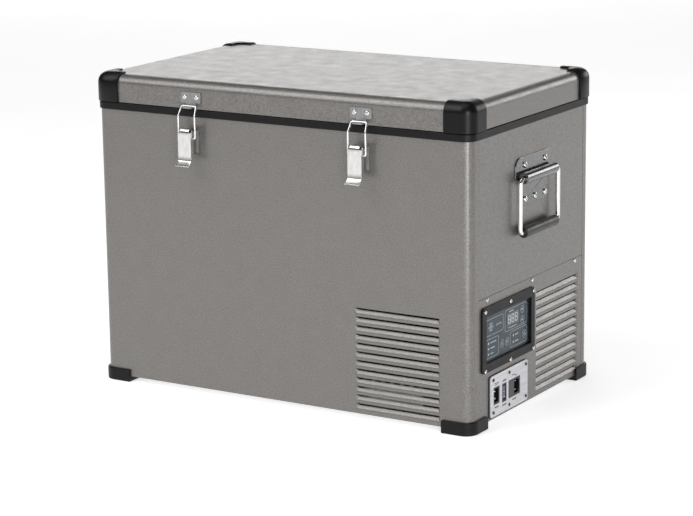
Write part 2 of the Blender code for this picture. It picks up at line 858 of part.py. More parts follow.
def handle_bail(name, side):
    """The bent bar of a handle, one piece from stub to stub."""
    x, top, low = side * (HALF_X + HANDLE_PIVOT_OUT), HANDLE_PIVOT_Z, HANDLE_PIVOT_Z - HANDLE_DROP
    stub = 38 * MM
    points = [
        (x, HANDLE_Y - stub, top),
        (x, HANDLE_Y - HANDLE_HALF, top),
        (x, HANDLE_Y - HANDLE_HALF, low),
        (x, HANDLE_Y + HANDLE_HALF, low),
        (x, HANDLE_Y + HANDLE_HALF, top),
        (x, HANDLE_Y + stub, top),
    ]
    return rod(name, points, 3.5 * MM, "chrome", bend=7 * MM)


def handle_grip(name, side):
    x, low = side * (HALF_X + HANDLE_PIVOT_OUT), HANDLE_PIVOT_Z - HANDLE_DROP
    half = 50.5 * MM
    levels = [
        (HANDLE_Y - half, circle(x, low, 7 * MM, 16)),
        (HANDLE_Y - half + MM, circle(x, low, 8 * MM, 16)),
        (HANDLE_Y + half - MM, circle(x, low, 8 * MM, 16)),
        (HANDLE_Y + half, circle(x, low, 7 * MM, 16)),
    ]
    grip = loft(name, levels, "Y", "grip_plastic")
    bore = circle(x, low, 3.9 * MM, 12)
    return smooth(cut(grip, prism("bore", bore, -90 * MM, 90 * MM, "Y", "grip_plastic")))


for handle_name, handle_side in (("left", -1), ("right", 1)):
    on_case(handle_plate("handle_plate_" + handle_name, handle_side))
    on_axis(
        "handle_axis_" + handle_name,
        (handle_side * (HALF_X + HANDLE_PIVOT_OUT), HANDLE_Y, HANDLE_PIVOT_Z),
        handle_bail("handle_bail_" + handle_name, handle_side),
        handle_grip("handle_grip_" + handle_name, handle_side),
    )

# ---------------------------------------------------------------- draw latches


def front(out):
    """The Y of a point this far in front of the case."""
    return -HALF_Y - out


def side_profile(name, points, centre, half_low, half_high, finish):
    """A plate seen from the end, as points (out, z), between two distances from the latch's middle."""
    flat = [(front(out), z) for out, z in points]
    return prism(name, flat, centre + half_low, centre + half_high, "X", finish)


def latch_base(name, centre):
    """A back plate with two ears that carry the lever's pin."""
    plate = prism(
        name,
        rounded(centre - 12.5 * MM, centre + 12.5 * MM, 368 * MM, 405 * MM, 2 * MM, 2),
        front(1.8 * MM),
        front(GAP),
        "Y",
        "stainless",
    )
    ear = [
        (1.2 * MM, 370 * MM),
        (16 * MM, 370 * MM),
        (18.6 * MM, 374 * MM),
        (18.6 * MM, 404 * MM),
        (15 * MM, 406.8 * MM),
        (12.5 * MM, 405 * MM),
        (1.2 * MM, 403 * MM),
    ]
    hole = circle(front(LEVER_PIVOT_OUT), LEVER_PIVOT_Z, 2.3 * MM, 12)
    for low, high in ((-9.7 * MM, -8.3 * MM), (8.3 * MM, 9.7 * MM)):
        join(plate, side_profile("ear", ear, centre, low, high, "stainless"))
    return cut(plate, prism("hole", hole, centre - 15 * MM, centre + 15 * MM, "X", "stainless"))


def latch_lever(name, centre):
    """A pressed lever: a face with side flanges, a curl round the pin, and a flared lip."""
    face_out, sheet = LEVER_FACE_OUT, 1.5 * MM
    face = [
        (face_out - sheet, 362 * MM),
        (face_out, 361.5 * MM),
        (face_out, 402.5 * MM),
        (face_out - sheet, 402.5 * MM),
    ]
    lip = [
        (face_out - sheet, 362.5 * MM),
        (face_out + 7 * MM, 353.4 * MM),
        (face_out + 8 * MM, 354.4 * MM),
        (face_out, 364 * MM),
    ]
    neck = [
        (face_out - sheet, 400 * MM),
        (face_out, 400 * MM),
        (face_out, 406 * MM),
        (face_out - MM, 407.8 * MM),
        (face_out - 3 * MM, 408.6 * MM),
        (LEVER_PIVOT_OUT, 407 * MM),
        (LEVER_PIVOT_OUT, 405.4 * MM),
        (face_out - sheet, 404 * MM),
    ]
    flange = [
        (12.2 * MM, 371 * MM),
        (15 * MM, 368.5 * MM),
        (face_out - 0.5 * MM, 368.5 * MM),
        (face_out - 0.5 * MM, 402.5 * MM),
        (14 * MM, 402.5 * MM),
        (12.2 * MM, 400 * MM),
    ]
    lever = side_profile(name, face, centre, -LEVER_HALF, LEVER_HALF, "stainless")
    join(
        lever,
        side_profile("lip", lip, centre, -LEVER_HALF - MM, LEVER_HALF + MM, "stainless"),
        side_profile("neck", neck, centre, -7.9 * MM, 7.9 * MM, "stainless"),
    )
    for low, high in ((-LEVER_HALF, -LEVER_HALF + 1.3 * MM), (LEVER_HALF - 1.3 * MM, LEVER_HALF)):
        join(lever, side_profile("flange", flange, centre, low, high, "stainless"))
    curl = circle(front(LEVER_PIVOT_OUT), LEVER_PIVOT_Z, 4 * MM, 14)
    pivot = circle(front(LEVER_PIVOT_OUT), LEVER_PIVOT_Z, 2 * MM, 10)
    join(
        lever,
        prism("curl", curl, centre - 7.5 * MM, centre + 7.5 * MM, "X", "stainless"),
        prism("pivot", pivot, centre - 10.6 * MM, centre + 10.6 * MM, "X", "stainless"),
    )
    eye = circle(front(BAIL_PIVOT_OUT), BAIL_PIVOT_Z, BAIL_WIRE + GAP, 10)
    for side in (-1, 1):
        near, far = centre + side * 9.9 * MM, centre + side * 20 * MM
        cut(lever, prism("eye", eye, min(near, far), max(near, far), "X", "stainless"))
    return lever


def latch_bail(name, centre):
    """The bent wire that pulls the keeper down, from one lever flange up round to the other."""
    pivot = (front(BAIL_PIVOT_OUT), BAIL_PIVOT_Z)
    bend = (front(15 * MM), 425.5 * MM)
    bar = (front(BAIL_BAR_OUT), BAIL_BAR_Z)
    leg, bar_half, stub = 14.5 * MM, 12.5 * MM, 10.2 * MM
    half = [
        (stub, *pivot),
        (leg, *pivot),
        (leg, *bend),
        (bar_half, *bar),
    ]
    points = [(centre - x, y, z) for x, y, z in half]
    points += [(centre + x, y, z) for x, y, z in reversed(half)]
    return rod(name, points, BAIL_WIRE, "stainless", bend=2.5 * MM)


def latch_keeper(name, centre):
    """The plate on the lid, with a tongue that hooks up in front of the bail's bar."""
    skin = LID_PROUD + GAP
    sheet = 1.5 * MM
    plate = prism(
        name,
        rounded(centre - 17.8 * MM, centre + 17.8 * MM, 444 * MM, 460 * MM, 2.5 * MM, 3),
        front(skin + sheet),
        front(skin),
        "Y",
        "stainless",
    )
    floor, lip = 436.4 * MM, 11.6 * MM
    hook = [
        (skin, 446 * MM),
        (skin, floor + MM),
        (skin + MM, floor),
        (lip, floor),
        (lip + sheet, floor + MM),
        (lip + sheet, 440.6 * MM),
        (lip, 440.6 * MM),
        (lip, floor + sheet),
        (skin + sheet, floor + sheet),
        (skin + sheet, 446 * MM),
    ]
    return join(plate, side_profile("hook", hook, centre, -8 * MM, 8 * MM, "stainless"))


latch_keepers = []
for latch_name, latch_centre in (("left", -LATCH_X), ("right", LATCH_X)):
    on_case(latch_base("latch_base_" + latch_name, latch_centre))
    on_axis(
        "latch_lever_axis_" + latch_name,
        (latch_centre, front(LEVER_PIVOT_OUT), LEVER_PIVOT_Z),
        latch_lever("latch_lever_" + latch_name, latch_centre),
    )
    on_axis(
        "latch_bail_axis_" + latch_name,
        (latch_centre, front(BAIL_PIVOT_OUT), BAIL_PIVOT_Z),
        latch_bail("latch_bail_" + latch_name, latch_centre),
    )
    latch_keepers.append(latch_keeper("latch_keeper_" + latch_name, latch_centre))

# ---------------------------------------------------------------- lid


def lid_form(name, grow, bottom, finish, segments=4):
    """The lid's outer form grown on all sides, its top edges turned on an arc."""
    half_x, half_y = HALF_X + LID_PROUD + grow, HALF_Y + LID_PROUD + grow
    radius, edge, top = CASE_RADIUS + LID_PROUD + grow, LID_EDGE + grow, LID_TOP + grow
    levels = [(bottom, about(half_x, half_y, radius, 5))]
    for step in range(segments + 1):
        turn = math.radians(90 * step / segments)
        inset = edge * (1 - math.cos(turn))
        outline = about(half_x - inset, half_y - inset, radius - inset, 5)
        levels.append((top - edge + edge * math.sin(turn), outline))
    return loft(name, levels, "Z", finish)


def lid_skin():
    skin = lid_form("lid_skin", 0, LID_BOTTOM, "painted_steel")
    return smooth(cut(skin, lid_form("inside", -SHEET, LID_BOTTOM - 5 * MM, "painted_steel")), 30)


def plug_outline(shrink):
    clear = 3 * MM + shrink
    return about(HALF_X - WALL - clear, HALF_Y - WALL - clear, TUB_RADIUS - clear)


def lid_liner():
    """The moulded inner cover: a plate in the skin, and a plug that fills the tub's mouth."""
    plate = about(HALF_X + LID_PROUD - SHEET - GAP, HALF_Y + LID_PROUD - SHEET - GAP, CASE_RADIUS - GAP)
    liner = prism("lid_liner", plate, LINER_PLATE, LINER_PLATE + 2 * MM, "Z", "white_plastic")
    ease = 3 * MM
    levels = [
        (PLUG_BOTTOM, plug_outline(ease)),
        (PLUG_BOTTOM + ease, plug_outline(0)),
        (LINER_PLATE + MM, plug_outline(0)),
    ]
    join(liner, loft("plug", levels, "Z", "white_plastic"))
    hollow = plug_outline(ease + 2 * MM)
    return cut(liner, prism("hollow", hollow, PLUG_BOTTOM + 2 * MM, 450 * MM, "Z", "white_plastic"))


def lid_foam():
    foam = lid_form("lid_foam", -SHEET - GAP, LINER_PLATE + 2 * MM + GAP, "foam", 3)
    fill = plug_outline(5.5 * MM)
    return join(foam, prism("fill", fill, PLUG_BOTTOM + 2.5 * MM, 445 * MM, "Z", "foam"))


def lid_gasket():
    outer = about(HALF_X - 20 * MM, HALF_Y - 20 * MM, TUB_RADIUS + 14 * MM)
    inner = about(HALF_X - 32 * MM, HALF_Y - 32 * MM, TUB_RADIUS + 2 * MM)
    ring = prism("lid_gasket", outer, RIM_TOP + GAP, LINER_PLATE - GAP, "Z", "gasket_rubber")
    return cut(ring, prism("inside", inner, 400 * MM, 450 * MM, "Z", "gasket_rubber"))


def lid_cap(name, side_x, side_y):
    """A moulded corner, which wraps both walls and laps over the top."""
    cap = lid_form("lid_cap_" + name, CAP_PROUD, RIM_TOP + 0.9 * MM, "black_plastic")
    far_x, far_y = HALF_X + 20 * MM, HALF_Y + 20 * MM
    edge_x, edge_y = HALF_X + LID_PROUD + CAP_PROUD, HALF_Y + LID_PROUD + CAP_PROUD
    long_x, long_y = edge_x - CAP_LEG, edge_y - CAP_LEG
    short_x, short_y = edge_x - CAP_TOP_LEG, edge_y - CAP_TOP_LEG
    plan = [
        (long_x, far_y),
        (long_x, short_y),
        (short_x - 6 * MM, short_y),
        (short_x, short_y - 6 * MM),
        (short_x, long_y),
        (far_x, long_y),
        (far_x, far_y),
    ]
    plan = [(side_x * x, side_y * y) for x, y in plan]
    combine(cap, prism("region", plan, 0, 500 * MM, "Z", "black_plastic"), "INTERSECT")
    return smooth(cut(cap, lid_form("skin", GAP, RIM_TOP - 5 * MM, "black_plastic")), 30)


# ---------------------------------------------------------------- lid hinges


def back_profile(name, points, centre, half, finish="galvanised_steel"):
    return prism(name, points, centre - half, centre + half, "X", finish)


def hinge_leaf_body(name, centre):
    """The fixed leaf: a plate on the case's back, packed out past the rim, with two knuckles."""
    y0, y1, step = HALF_Y + GAP, HALF_Y + 4.3 * MM, HALF_Y + RIM_PROUD + GAP
    axis_y, axis_z = HINGE_AXIS_Y, HINGE_AXIS_Z
    rim_low = 421 * MM
    profile = [(y0, 382 * MM), (y1, 382 * MM), (y1, axis_z), (step, axis_z), (step, rim_low), (y0, rim_low)]
    leaf = back_profile(name, profile, centre, 25 * MM)
    join(leaf, back_profile("knuckles", circle(axis_y, axis_z, KNUCKLE, 16), centre, 25 * MM))
    notch_y = (HALF_Y - 5 * MM, HALF_Y + 30 * MM)
    notch = box("notch", (centre - 8 * MM, centre + 8 * MM), notch_y, (428.5 * MM, 460 * MM))
    bore = back_profile("bore", circle(axis_y, axis_z, 2.3 * MM, 12), centre, 40 * MM)
    return cut(leaf, notch, bore)


def hinge_leaf_lid(name, centre):
    """The moving leaf: a plate on the lid's back, with one knuckle and the pin staked in it."""
    y0, y1 = HALF_Y + LID_PROUD + GAP, HALF_Y + 4.3 * MM
    axis_y, axis_z = HINGE_AXIS_Y, HINGE_AXIS_Z
    low, neck = 441 * MM, 7.7 * MM
    leaf = box(name, (centre - 25 * MM, centre + 25 * MM), (y0, y1), (low, 468 * MM), "galvanised_steel")
    link = box("link", (centre - neck, centre + neck), (y0, y1), (435.2 * MM, low + MM), "galvanised_steel")
    return join(
        leaf,
        link,
        back_profile("knuckle", circle(axis_y, axis_z, KNUCKLE, 16), centre, neck),
        back_profile("pin", circle(axis_y, axis_z, 2 * MM, 12), centre, 26 * MM),
    )


lid_pieces = [lid_skin(), lid_liner(), lid_foam(), lid_gasket(), *latch_keepers]
lid_pieces += [lid_cap(name, *sides) for name, sides in CORNERS.items()]
for hinge_name, hinge_centre in (("left", -HINGE_X), ("right", HINGE_X)):
    on_case(hinge_leaf_body("hinge_leaf_body_" + hinge_name, hinge_centre))
    lid_pieces.append(hinge_leaf_lid("hinge_leaf_lid_" + hinge_name, hinge_centre))
on_axis("lid_axis", (0, HINGE_AXIS_Y, HINGE_AXIS_Z), *lid_pieces)

case_frame.location.y = CASE_MIDDLE_Y
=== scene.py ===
import math

import bmesh
import bpy
from mathutils import Matrix, Vector


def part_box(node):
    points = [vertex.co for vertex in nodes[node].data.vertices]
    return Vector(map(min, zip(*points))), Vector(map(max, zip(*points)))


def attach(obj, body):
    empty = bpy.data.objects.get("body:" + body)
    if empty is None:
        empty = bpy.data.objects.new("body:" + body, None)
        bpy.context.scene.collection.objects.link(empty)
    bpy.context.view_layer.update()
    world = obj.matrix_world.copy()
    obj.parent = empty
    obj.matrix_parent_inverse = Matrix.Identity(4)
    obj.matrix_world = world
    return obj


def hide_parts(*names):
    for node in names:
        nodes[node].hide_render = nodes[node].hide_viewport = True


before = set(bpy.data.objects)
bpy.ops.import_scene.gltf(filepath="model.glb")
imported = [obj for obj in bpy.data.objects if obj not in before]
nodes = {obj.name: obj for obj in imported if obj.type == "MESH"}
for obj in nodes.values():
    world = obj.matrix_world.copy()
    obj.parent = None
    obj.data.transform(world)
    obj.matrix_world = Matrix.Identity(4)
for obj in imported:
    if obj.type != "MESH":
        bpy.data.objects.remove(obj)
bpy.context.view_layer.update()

# ------ powder coat
# The case, the end panels and the lid are thin steel sheet. They are powder coated in a warm
# grey that holds a little metal flake, and the baked coat keeps a fine, mottled orange peel.


class Wire:
    """A shader node's output, on which arithmetic adds Math nodes."""

    def __init__(self, tree, socket=None):
        self.tree, self.socket = tree, socket

    def node(self, kind, sockets=None, output=0, **settings):
        """Adds a node: its settings first, then its sockets' values or the Wires into them."""
        made = self.tree.nodes.new("ShaderNode" + kind)
        for name, value in settings.items():
            setattr(made, name, value)
        for name, value in (sockets or {}).items():
            if isinstance(value, Wire):
                self.tree.links.new(value.socket, made.inputs[name])
            else:
                made.inputs[name].default_value = value
        return Wire(self.tree, made.outputs[output])

    def maths(self, operation, *values):
        return self.node("Math", dict(enumerate(values)), operation=operation)

    def __add__(self, other):
        return self.maths("ADD", self, other)

    def __mul__(self, other):
        return self.maths("MULTIPLY", self, other)

    def __sub__(self, other):
        return self.maths("SUBTRACT", self, other)

    def __rsub__(self, other):
        return self.maths("SUBTRACT", other, self)

    __radd__, __rmul__ = __add__, __mul__

    def blend(self, dark, light):
        """The colour between two others, this value being how much of the light one there is."""
        return self.node("Mix", {0: self, 6: dark, 7: light}, 2, data_type="RGBA")


def grey(value, warmth=0.0):
    """A grey as a colour, redder and less blue by its warmth."""
    return (value * (1 + warmth), value, value * (1 - warmth), 1.0)


CLOUD_SCALE, CLOUD_SHARE = 40.0, 0.12
NOISE_LOW, NOISE_GAIN = 0.34, 3.0
RELIEF_DEPTH = 0.0002


def finish(name, dark, light, grain, roughness, relief, stretch=(1, 1, 1), **fixed):
    """A material whose colour, roughness and relief vary over a fine grain and a broad cloud."""
    made = bpy.data.materials.new(name)
    made.use_nodes = True
    shader = made.node_tree.nodes["Principled BSDF"]
    for socket, value in fixed.items():
        shader.inputs[socket.replace("_", " ")].default_value = value
    wire = Wire(made.node_tree)
    place = wire.node("TexCoord", output="Object")
    drawn = wire.node("Mapping", {"Vector": place, "Scale": stretch})
    fine = wire.node("TexNoise", {"Vector": drawn, "Scale": grain, "Detail": 3.0, "Roughness": 0.6})
    cloud = wire.node("TexNoise", {"Vector": place, "Scale": CLOUD_SCALE, "Detail": 3.0})
    tone = (fine * (1 - CLOUD_SHARE) + cloud * CLOUD_SHARE - NOISE_LOW) * NOISE_GAIN
    low, high = roughness
    bump = wire.node("Bump", {"Height": fine, "Strength": relief, "Distance": RELIEF_DEPTH})
    for socket, value in (
        ("Base Color", tone.blend(dark, light)),
        ("Roughness", cloud * (high - low) * 2 + (low * 1.5 - high * 0.5)),
        ("Normal", bump),
    ):
        made.node_tree.links.new(value.socket, shader.inputs[socket])
    return made


powder_coat = finish(
    "powder_coat", grey(0.13, 0.05), grey(0.23, 0.045), 520, (0.3, 0.4), 0.22, Metallic=0.55
)

# ------ case
# One sheet wraps the front, the left end and the back, and turns in a little way round the two
# right-hand corners. Twelve louvres are pressed inwards near the right end of its front.


def alone(piece):
    """Makes a piece the only selected one, and the active one."""
    bpy.ops.object.select_all(action="DESELECT")
    piece.hide_set(False)
    piece.select_set(True)
    bpy.context.view_layer.objects.active = piece
    return piece


def settled(name, size=(1, 1, 1)):
    """Names the object that was just added, and applies its place, turn and size to its mesh."""
    made = bpy.context.object
    made.scale = [was * by for was, by in zip(made.scale, size)]
    made.name = made.data.name = name
    alone(made)
    bpy.ops.object.transform_apply(location=True, rotation=True, scale=True)
    return made


def block(name, low, high):
    low, high = Vector(low), Vector(high)
    bpy.ops.mesh.primitive_cube_add(size=1, location=(low + high) / 2, scale=high - low)
    return settled(name)


def pick(piece, kind, wanted=None):
    """Opens a piece for editing with only its wanted vertices, edges or faces selected, or all."""
    alone(piece)
    bpy.ops.object.mode_set(mode="EDIT")
    bpy.ops.mesh.select_mode(type=kind)
    bpy.ops.mesh.select_all(action="DESELECT")
    inside = bmesh.from_edit_mesh(piece.data)
    parts = {"VERT": inside.verts, "EDGE": inside.edges, "FACE": inside.faces}[kind]
    for part in list(parts):
        if wanted is None or wanted(part):
            part.select_set(True)
    bmesh.update_edit_mesh(piece.data)


def close():
    bpy.ops.object.mode_set(mode="OBJECT")


def pull(x, y, z):
    """Extrudes what is selected, by that much."""
    bpy.ops.mesh.extrude_region_move(TRANSFORM_OT_translate={"value": (x, y, z)})


def middle(part):
    """The middle of an edge's or a face's corners."""
    return sum((point.co for point in part.verts), Vector()) / len(part.verts)


def lies_at(part, axis, value):
    """Whether every corner has that coordinate."""
    return all(abs(point.co[axis] - value) < 2e-5 for point in getattr(part, "verts", [part]))


def on_plane(axis, value):
    """A test for the edges, faces or vertices that lie in a plane across that axis."""
    return lambda part: lies_at(part, axis, value)


def runs_along(edge, axis):
    return abs((edge.verts[0].co - edge.verts[1].co).normalized()[axis]) > 0.999


def remove_faces(piece, wanted):
    pick(piece, "FACE", wanted)
    bpy.ops.mesh.delete(type="FACE")
    close()


def turn_round(piece):
    """Makes every face of a piece point the other way."""
    pick(piece, "FACE")
    bpy.ops.mesh.flip_normals()
    close()


def score(piece, axis, value):
    """Divides a sheet where a plane across that axis meets it."""
    place, facing = Vector(), Vector()
    place[axis], facing[axis] = value, 1
    pick(piece, "FACE")
    bpy.ops.mesh.bisect(plane_co=place, plane_no=facing)
    close()


def round_edges(piece, wanted, radius, segments=3):
    pick(piece, "EDGE", wanted)
    bpy.ops.mesh.bevel(offset=radius, segments=segments, affect="EDGES", clamp_overlap=False)
    close()


def slab(name, low, high, axis, radius, segments=8, ease=0.0, ends=(0, 1)):
    """A block with its edges along one axis rounded, and the outlines of its ends eased."""
    made = block(name, low, high)
    round_edges(made, lambda edge: runs_along(edge, axis), radius, segments)
    for end in ends if ease else ():
        place = (low, high)[end][axis]
        round_edges(made, on_plane(axis, place), ease, 3)
    return made


def modify(piece, kind, **settings):
    """Adds a modifier and applies it."""
    alone(piece)
    change = piece.modifiers.new(kind.lower(), kind)
    for name, value in settings.items():
        setattr(change, name, value)
    bpy.ops.object.modifier_apply(modifier=change.name)
    return piece


SHEET = 0.0008


def thicken(piece, thickness=SHEET):
    """Gives a sheet its wall, inwards from its face."""
    modify(piece, "SOLIDIFY", thickness=thickness, offset=-1)


def ease_edges(piece, width, segments, degrees):
    """Rounds every edge that is sharper than an angle."""
    sharp = math.radians(degrees)
    modify(piece, "BEVEL", width=width, segments=segments, limit_method="ANGLE", angle_limit=sharp)


def carve(piece, tool, operation="DIFFERENCE"):
    """Cuts a solid from a piece, or joins it or keeps what both share, and removes the solid."""
    modify(piece, "BOOLEAN", operation=operation, solver="EXACT", object=tool)
    bpy.data.objects.remove(tool)
    return piece


def slice_open(piece, low, high):
    """Divides a sheet along the sides of a box, and takes out the faces inside the box."""
    for axis in range(3):
        for value in (low[axis], high[axis]):
            if value is not None:
                score(piece, axis, value)

    def inside(face):
        at = middle(face)
        return all(
            (low[i] is None or at[i] > low[i]) and (high[i] is None or at[i] < high[i])
            for i in range(3)
        )

    remove_faces(piece, inside)


def copied(piece, name, place):
    """A copy with its own mesh, moved by a matrix; a mirrored one has its normals turned out."""
    alone(piece)
    bpy.ops.object.duplicate()
    made = bpy.context.object
    made.name = made.data.name = name
    made.data.transform(place)
    if place.determinant() < 0:
        turn_round(made)
    return made


def joined(name, pieces):
    alone(pieces[0])
    for piece in pieces[1:]:
        piece.select_set(True)
    bpy.ops.object.join()
    made = bpy.context.object
    made.name = made.data.name = name
    return made


def merged(piece):
    pick(piece, "VERT")
    bpy.ops.mesh.remove_doubles(threshold=1e-5)
    close()
    return piece


def smooth(piece, degrees=40):
    """Shades a piece smooth up to an angle, its flat faces kept flat."""
    alone(piece)
    bpy.ops.object.shade_smooth_by_angle(angle=math.radians(degrees))
    return modify(piece, "WEIGHTED_NORMAL", keep_sharp=True, weight=80)


def fit(piece, material, slot, *stands_for, body="case"):
    """Gives a finished piece its material, its body and the CAD nodes that it stands for."""
    piece.data.materials.clear()
    piece.data.materials.append(material)
    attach(piece, body)
    if stands_for:
        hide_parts(*stands_for)
    return piece


LOUVRE_ROWS, LOUVRE_PITCH, LOUVRE_DROP = 12, 0.013, 0.0084
LOUVRE_MARGIN = (LOUVRE_PITCH - LOUVRE_DROP) / 2
LOUVRE_FOLD = 0.0009


def louvre_bank(name, length, slot=0.0035, depth=0.0036, slope=0.003):
    """A bank of pressed louvres about the middle of its plane, seen from -Y: ramps that lean in
    to a slot, with a sloping wall at each end, and flat sheet round them."""
    bpy.ops.mesh.primitive_plane_add(size=1, rotation=(math.pi / 2, 0, 0))
    one = settled(name, (length + 2 * LOUVRE_MARGIN, LOUVRE_PITCH, 1))
    pick(one, "FACE")
    bpy.ops.mesh.inset(thickness=LOUVRE_MARGIN)
    pull(0, depth, 0)
    close()
    pick(one, "VERT", lambda point: point.co.y > depth / 2 and point.co.z < 0)
    bpy.ops.transform.translate(value=(0, -depth, 0))
    close()
    pick(one, "VERT", lambda point: point.co.y > depth / 2)
    bpy.ops.transform.translate(value=(0, 0, -slot))
    bpy.ops.transform.resize(value=((length - 2 * slope) / length, 1, 1))
    close()
    merged(one)
    remove_faces(one, lambda face: middle(face).y > depth / 4 and middle(face).z > slot * 0.4)
    half = length / 2

    def fold(edge):
        at, flat = middle(edge), lies_at(edge, 1, 0)
        low_fold = flat and abs(at.z + LOUVRE_DROP / 2) < 1e-4 and abs(at.x) < 1e-3
        side_fold = flat and abs(abs(at.x) - half) < 1e-4 and abs(at.z) < 1e-3
        valley = abs(at.y - depth / 2) < 1e-4 and at.z < LOUVRE_DROP / 2 - slot - 1e-4 and not flat
        return low_fold or side_fold or (valley and abs(at.x) < half - 1e-4)

    round_edges(one, fold, LOUVRE_FOLD, 3)
    rows_made = [one]
    for row in range(1, LOUVRE_ROWS):
        rows_made.append(copied(one, name, Matrix.Translation((0, 0, -LOUVRE_PITCH * row))))
    bank = merged(joined(name, rows_made))
    bank.data.transform(Matrix.Translation((0, 0, LOUVRE_PITCH * (LOUVRE_ROWS - 1) / 2)))
    return bank


def bank_opening(centre, axis, length):
    """The corners of the opening that a bank of louvres fills, its length along one axis."""
    half = Vector((0, 0, LOUVRE_PITCH * LOUVRE_ROWS / 2))
    half[axis] = length / 2 + LOUVRE_MARGIN
    return centre - half, centre + half


CASE_CORNER = 0.016
END_TURN_X, PANEL_GAP = 0.315, 0.0003
FRONT_LOUVRE_LENGTH = 0.139
case_low, case_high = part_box("body_shell")
end_panel_low, end_panel_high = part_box("side_panel")
case_shell = slab("case_shell", case_low, case_high, 2, CASE_CORNER, segments=12)
remove_faces(case_shell, lambda face: abs(face.normal.z) > 0.9)
turn_low, turn_high = end_panel_low.y - PANEL_GAP, end_panel_high.y + PANEL_GAP
slice_open(case_shell, (END_TURN_X, turn_low, None), (None, turn_high, None))
FRONT_LOUVRES = Vector((0.2005, case_low.y, 0.0913))
front_bank = louvre_bank("front_bank", FRONT_LOUVRE_LENGTH)
hole_low, hole_high = bank_opening(FRONT_LOUVRES, 0, FRONT_LOUVRE_LENGTH)
skin_y = case_low.y + 0.001
slice_open(case_shell, (hole_low.x, None, hole_low.z), (hole_high.x, skin_y, hole_high.z))
front_bank.data.transform(Matrix.Translation(FRONT_LOUVRES))
case_shell = merged(joined("case_shell", [case_shell, front_bank]))
thicken(case_shell)
fit(smooth(case_shell), powder_coat, "painted_steel", "body_shell")

# ------ end panels
# The right-hand end is closed by two flat sheets: a plain one above, and a service panel below,
# with a bank of louvres and openings for the controls and the sockets. Their edges are folded in.

PANEL_EDGE = 0.0007
END_LOUVRE_LENGTH = 0.138


def end_sheet(name, low, high):
    """A flat sheet in the plane of the case's right-hand end."""
    bpy.ops.mesh.primitive_plane_add(
        size=1,
        location=(high.x, (low.y + high.y) / 2, (low.z + high.z) / 2),
        rotation=(math.pi / 2, 0, math.pi / 2),
    )
    return settled(name, (high.y - low.y, high.z - low.z, 1))


def fold_in(piece, low, high):
    """Gives a sheet its thickness, and rounds the outline of its face."""
    thicken(piece)

    def outline(edge):
        sides = [lies_at(edge, 1, low.y), lies_at(edge, 1, high.y)]
        sides += [lies_at(edge, 2, low.z), lies_at(edge, 2, high.z)]
        return any(sides) and lies_at(edge, 0, high.x)

    round_edges(piece, outline, PANEL_EDGE, 3)
    return smooth(piece)


def widened(low, high, by):
    """The corners of a box, moved out by that much in Y and in Z, or in if it is negative."""
    grow = Vector((0, by, by))
    return low - grow, high + grow


upper_panel = end_sheet("upper_end_panel", end_panel_low, end_panel_high)
fold_in(upper_panel, end_panel_low, end_panel_high)
fit(upper_panel, powder_coat, "painted_steel", "side_panel")

service_low, service_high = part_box("service_panel")
service_low.x, service_high.x = end_panel_low.x, end_panel_high.x
service_panel = end_sheet("service_panel_sheet", service_low, service_high)
overlay_low, overlay_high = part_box("control_overlay")
plate_low, plate_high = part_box("power_plate")
END_LOUVRES = Vector((service_high.x, 0.09125, 0.0923))
for low, high in (
    bank_opening(END_LOUVRES, 1, END_LOUVRE_LENGTH),
    widened(overlay_low, overlay_high, 0.002),
    (plate_low + Vector((0, 0.006, 0.012)), plate_high - Vector((0, 0.018, 0.012))),
):
    slice_open(service_panel, (None, low.y, low.z), (None, high.y, high.z))
end_bank = louvre_bank("end_bank", END_LOUVRE_LENGTH)
end_bank.data.transform(Matrix.Translation(END_LOUVRES) @ Matrix.Rotation(math.pi / 2, 4, "Z"))
service_panel = merged(joined("service_panel_sheet", [service_panel, end_bank]))
fold_in(service_panel, service_low, service_high)
fit(service_panel, powder_coat, "painted_steel", "service_panel")

# ------ feet and pan
# Four corner feet are moulded in black plastic with a fine grain. Each wraps the bottom corner of
# the case and carries a flat pad. The galvanised pan between them closes the case from below.

black_moulding = finish(
    "black_moulding", grey(0.003), grey(0.008), 900, (0.36, 0.48), 0.25, Specular_IOR_Level=0.2
)
galvanised = finish(
    "galvanised_sheet", grey(0.36), grey(0.56), 160, (0.3, 0.46), 0.05, Metallic=0.9
)
FOOT_CORNER, FOOT_HEEL, FOOT_EASE, SEAT_GAP = 0.02, 0.002, 0.0014, 0.0002
seat_low = case_low - Vector((SEAT_GAP, SEAT_GAP, SEAT_GAP))
seat_high = case_high + Vector((SEAT_GAP, SEAT_GAP, 0))
for side_x, name_x in ((-1, "left"), (1, "right")):
    for side_y, name_y in ((-1, "front"), (1, "back")):
        node = f"foot_{name_y}_{name_x}"
        low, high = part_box(node)
        outer_x, outer_y = (low.x, high.x)[side_x > 0], (low.y, high.y)[side_y > 0]

        def upright(edge, count):
            """Whether an edge is upright and lies in that many of the foot's two outer sides."""
            sides = lies_at(edge, 0, outer_x) + lies_at(edge, 1, outer_y)
            return runs_along(edge, 2) and sides == count

        def level(edge):
            return lies_at(edge, 2, low.z) or lies_at(edge, 2, high.z)

        foot = block(node + "_moulding", low, high)
        round_edges(foot, lambda edge: upright(edge, 2), FOOT_CORNER, 12)
        round_edges(foot, level, FOOT_EASE, 3)
        round_edges(foot, lambda edge: upright(edge, 0), FOOT_HEEL, 4)
        carve(foot, slab("seat", seat_low, seat_high, 2, CASE_CORNER + SEAT_GAP, 12))
        fit(smooth(foot, 35), black_moulding, "black_plastic", node)


def dress(material, *names):
    """Gives CAD nodes that are already the right shape a better material."""
    for name in names:
        for place in nodes[name].material_slots:
            place.material = material


dress(galvanised, "base_pan", "bulkhead", "compressor_bracket")

# ------ rim
# A moulded black frame caps the walls round the mouth of the tub. It stands a little proud of the
# case, and its upper edge is eased where the lid comes down to it.

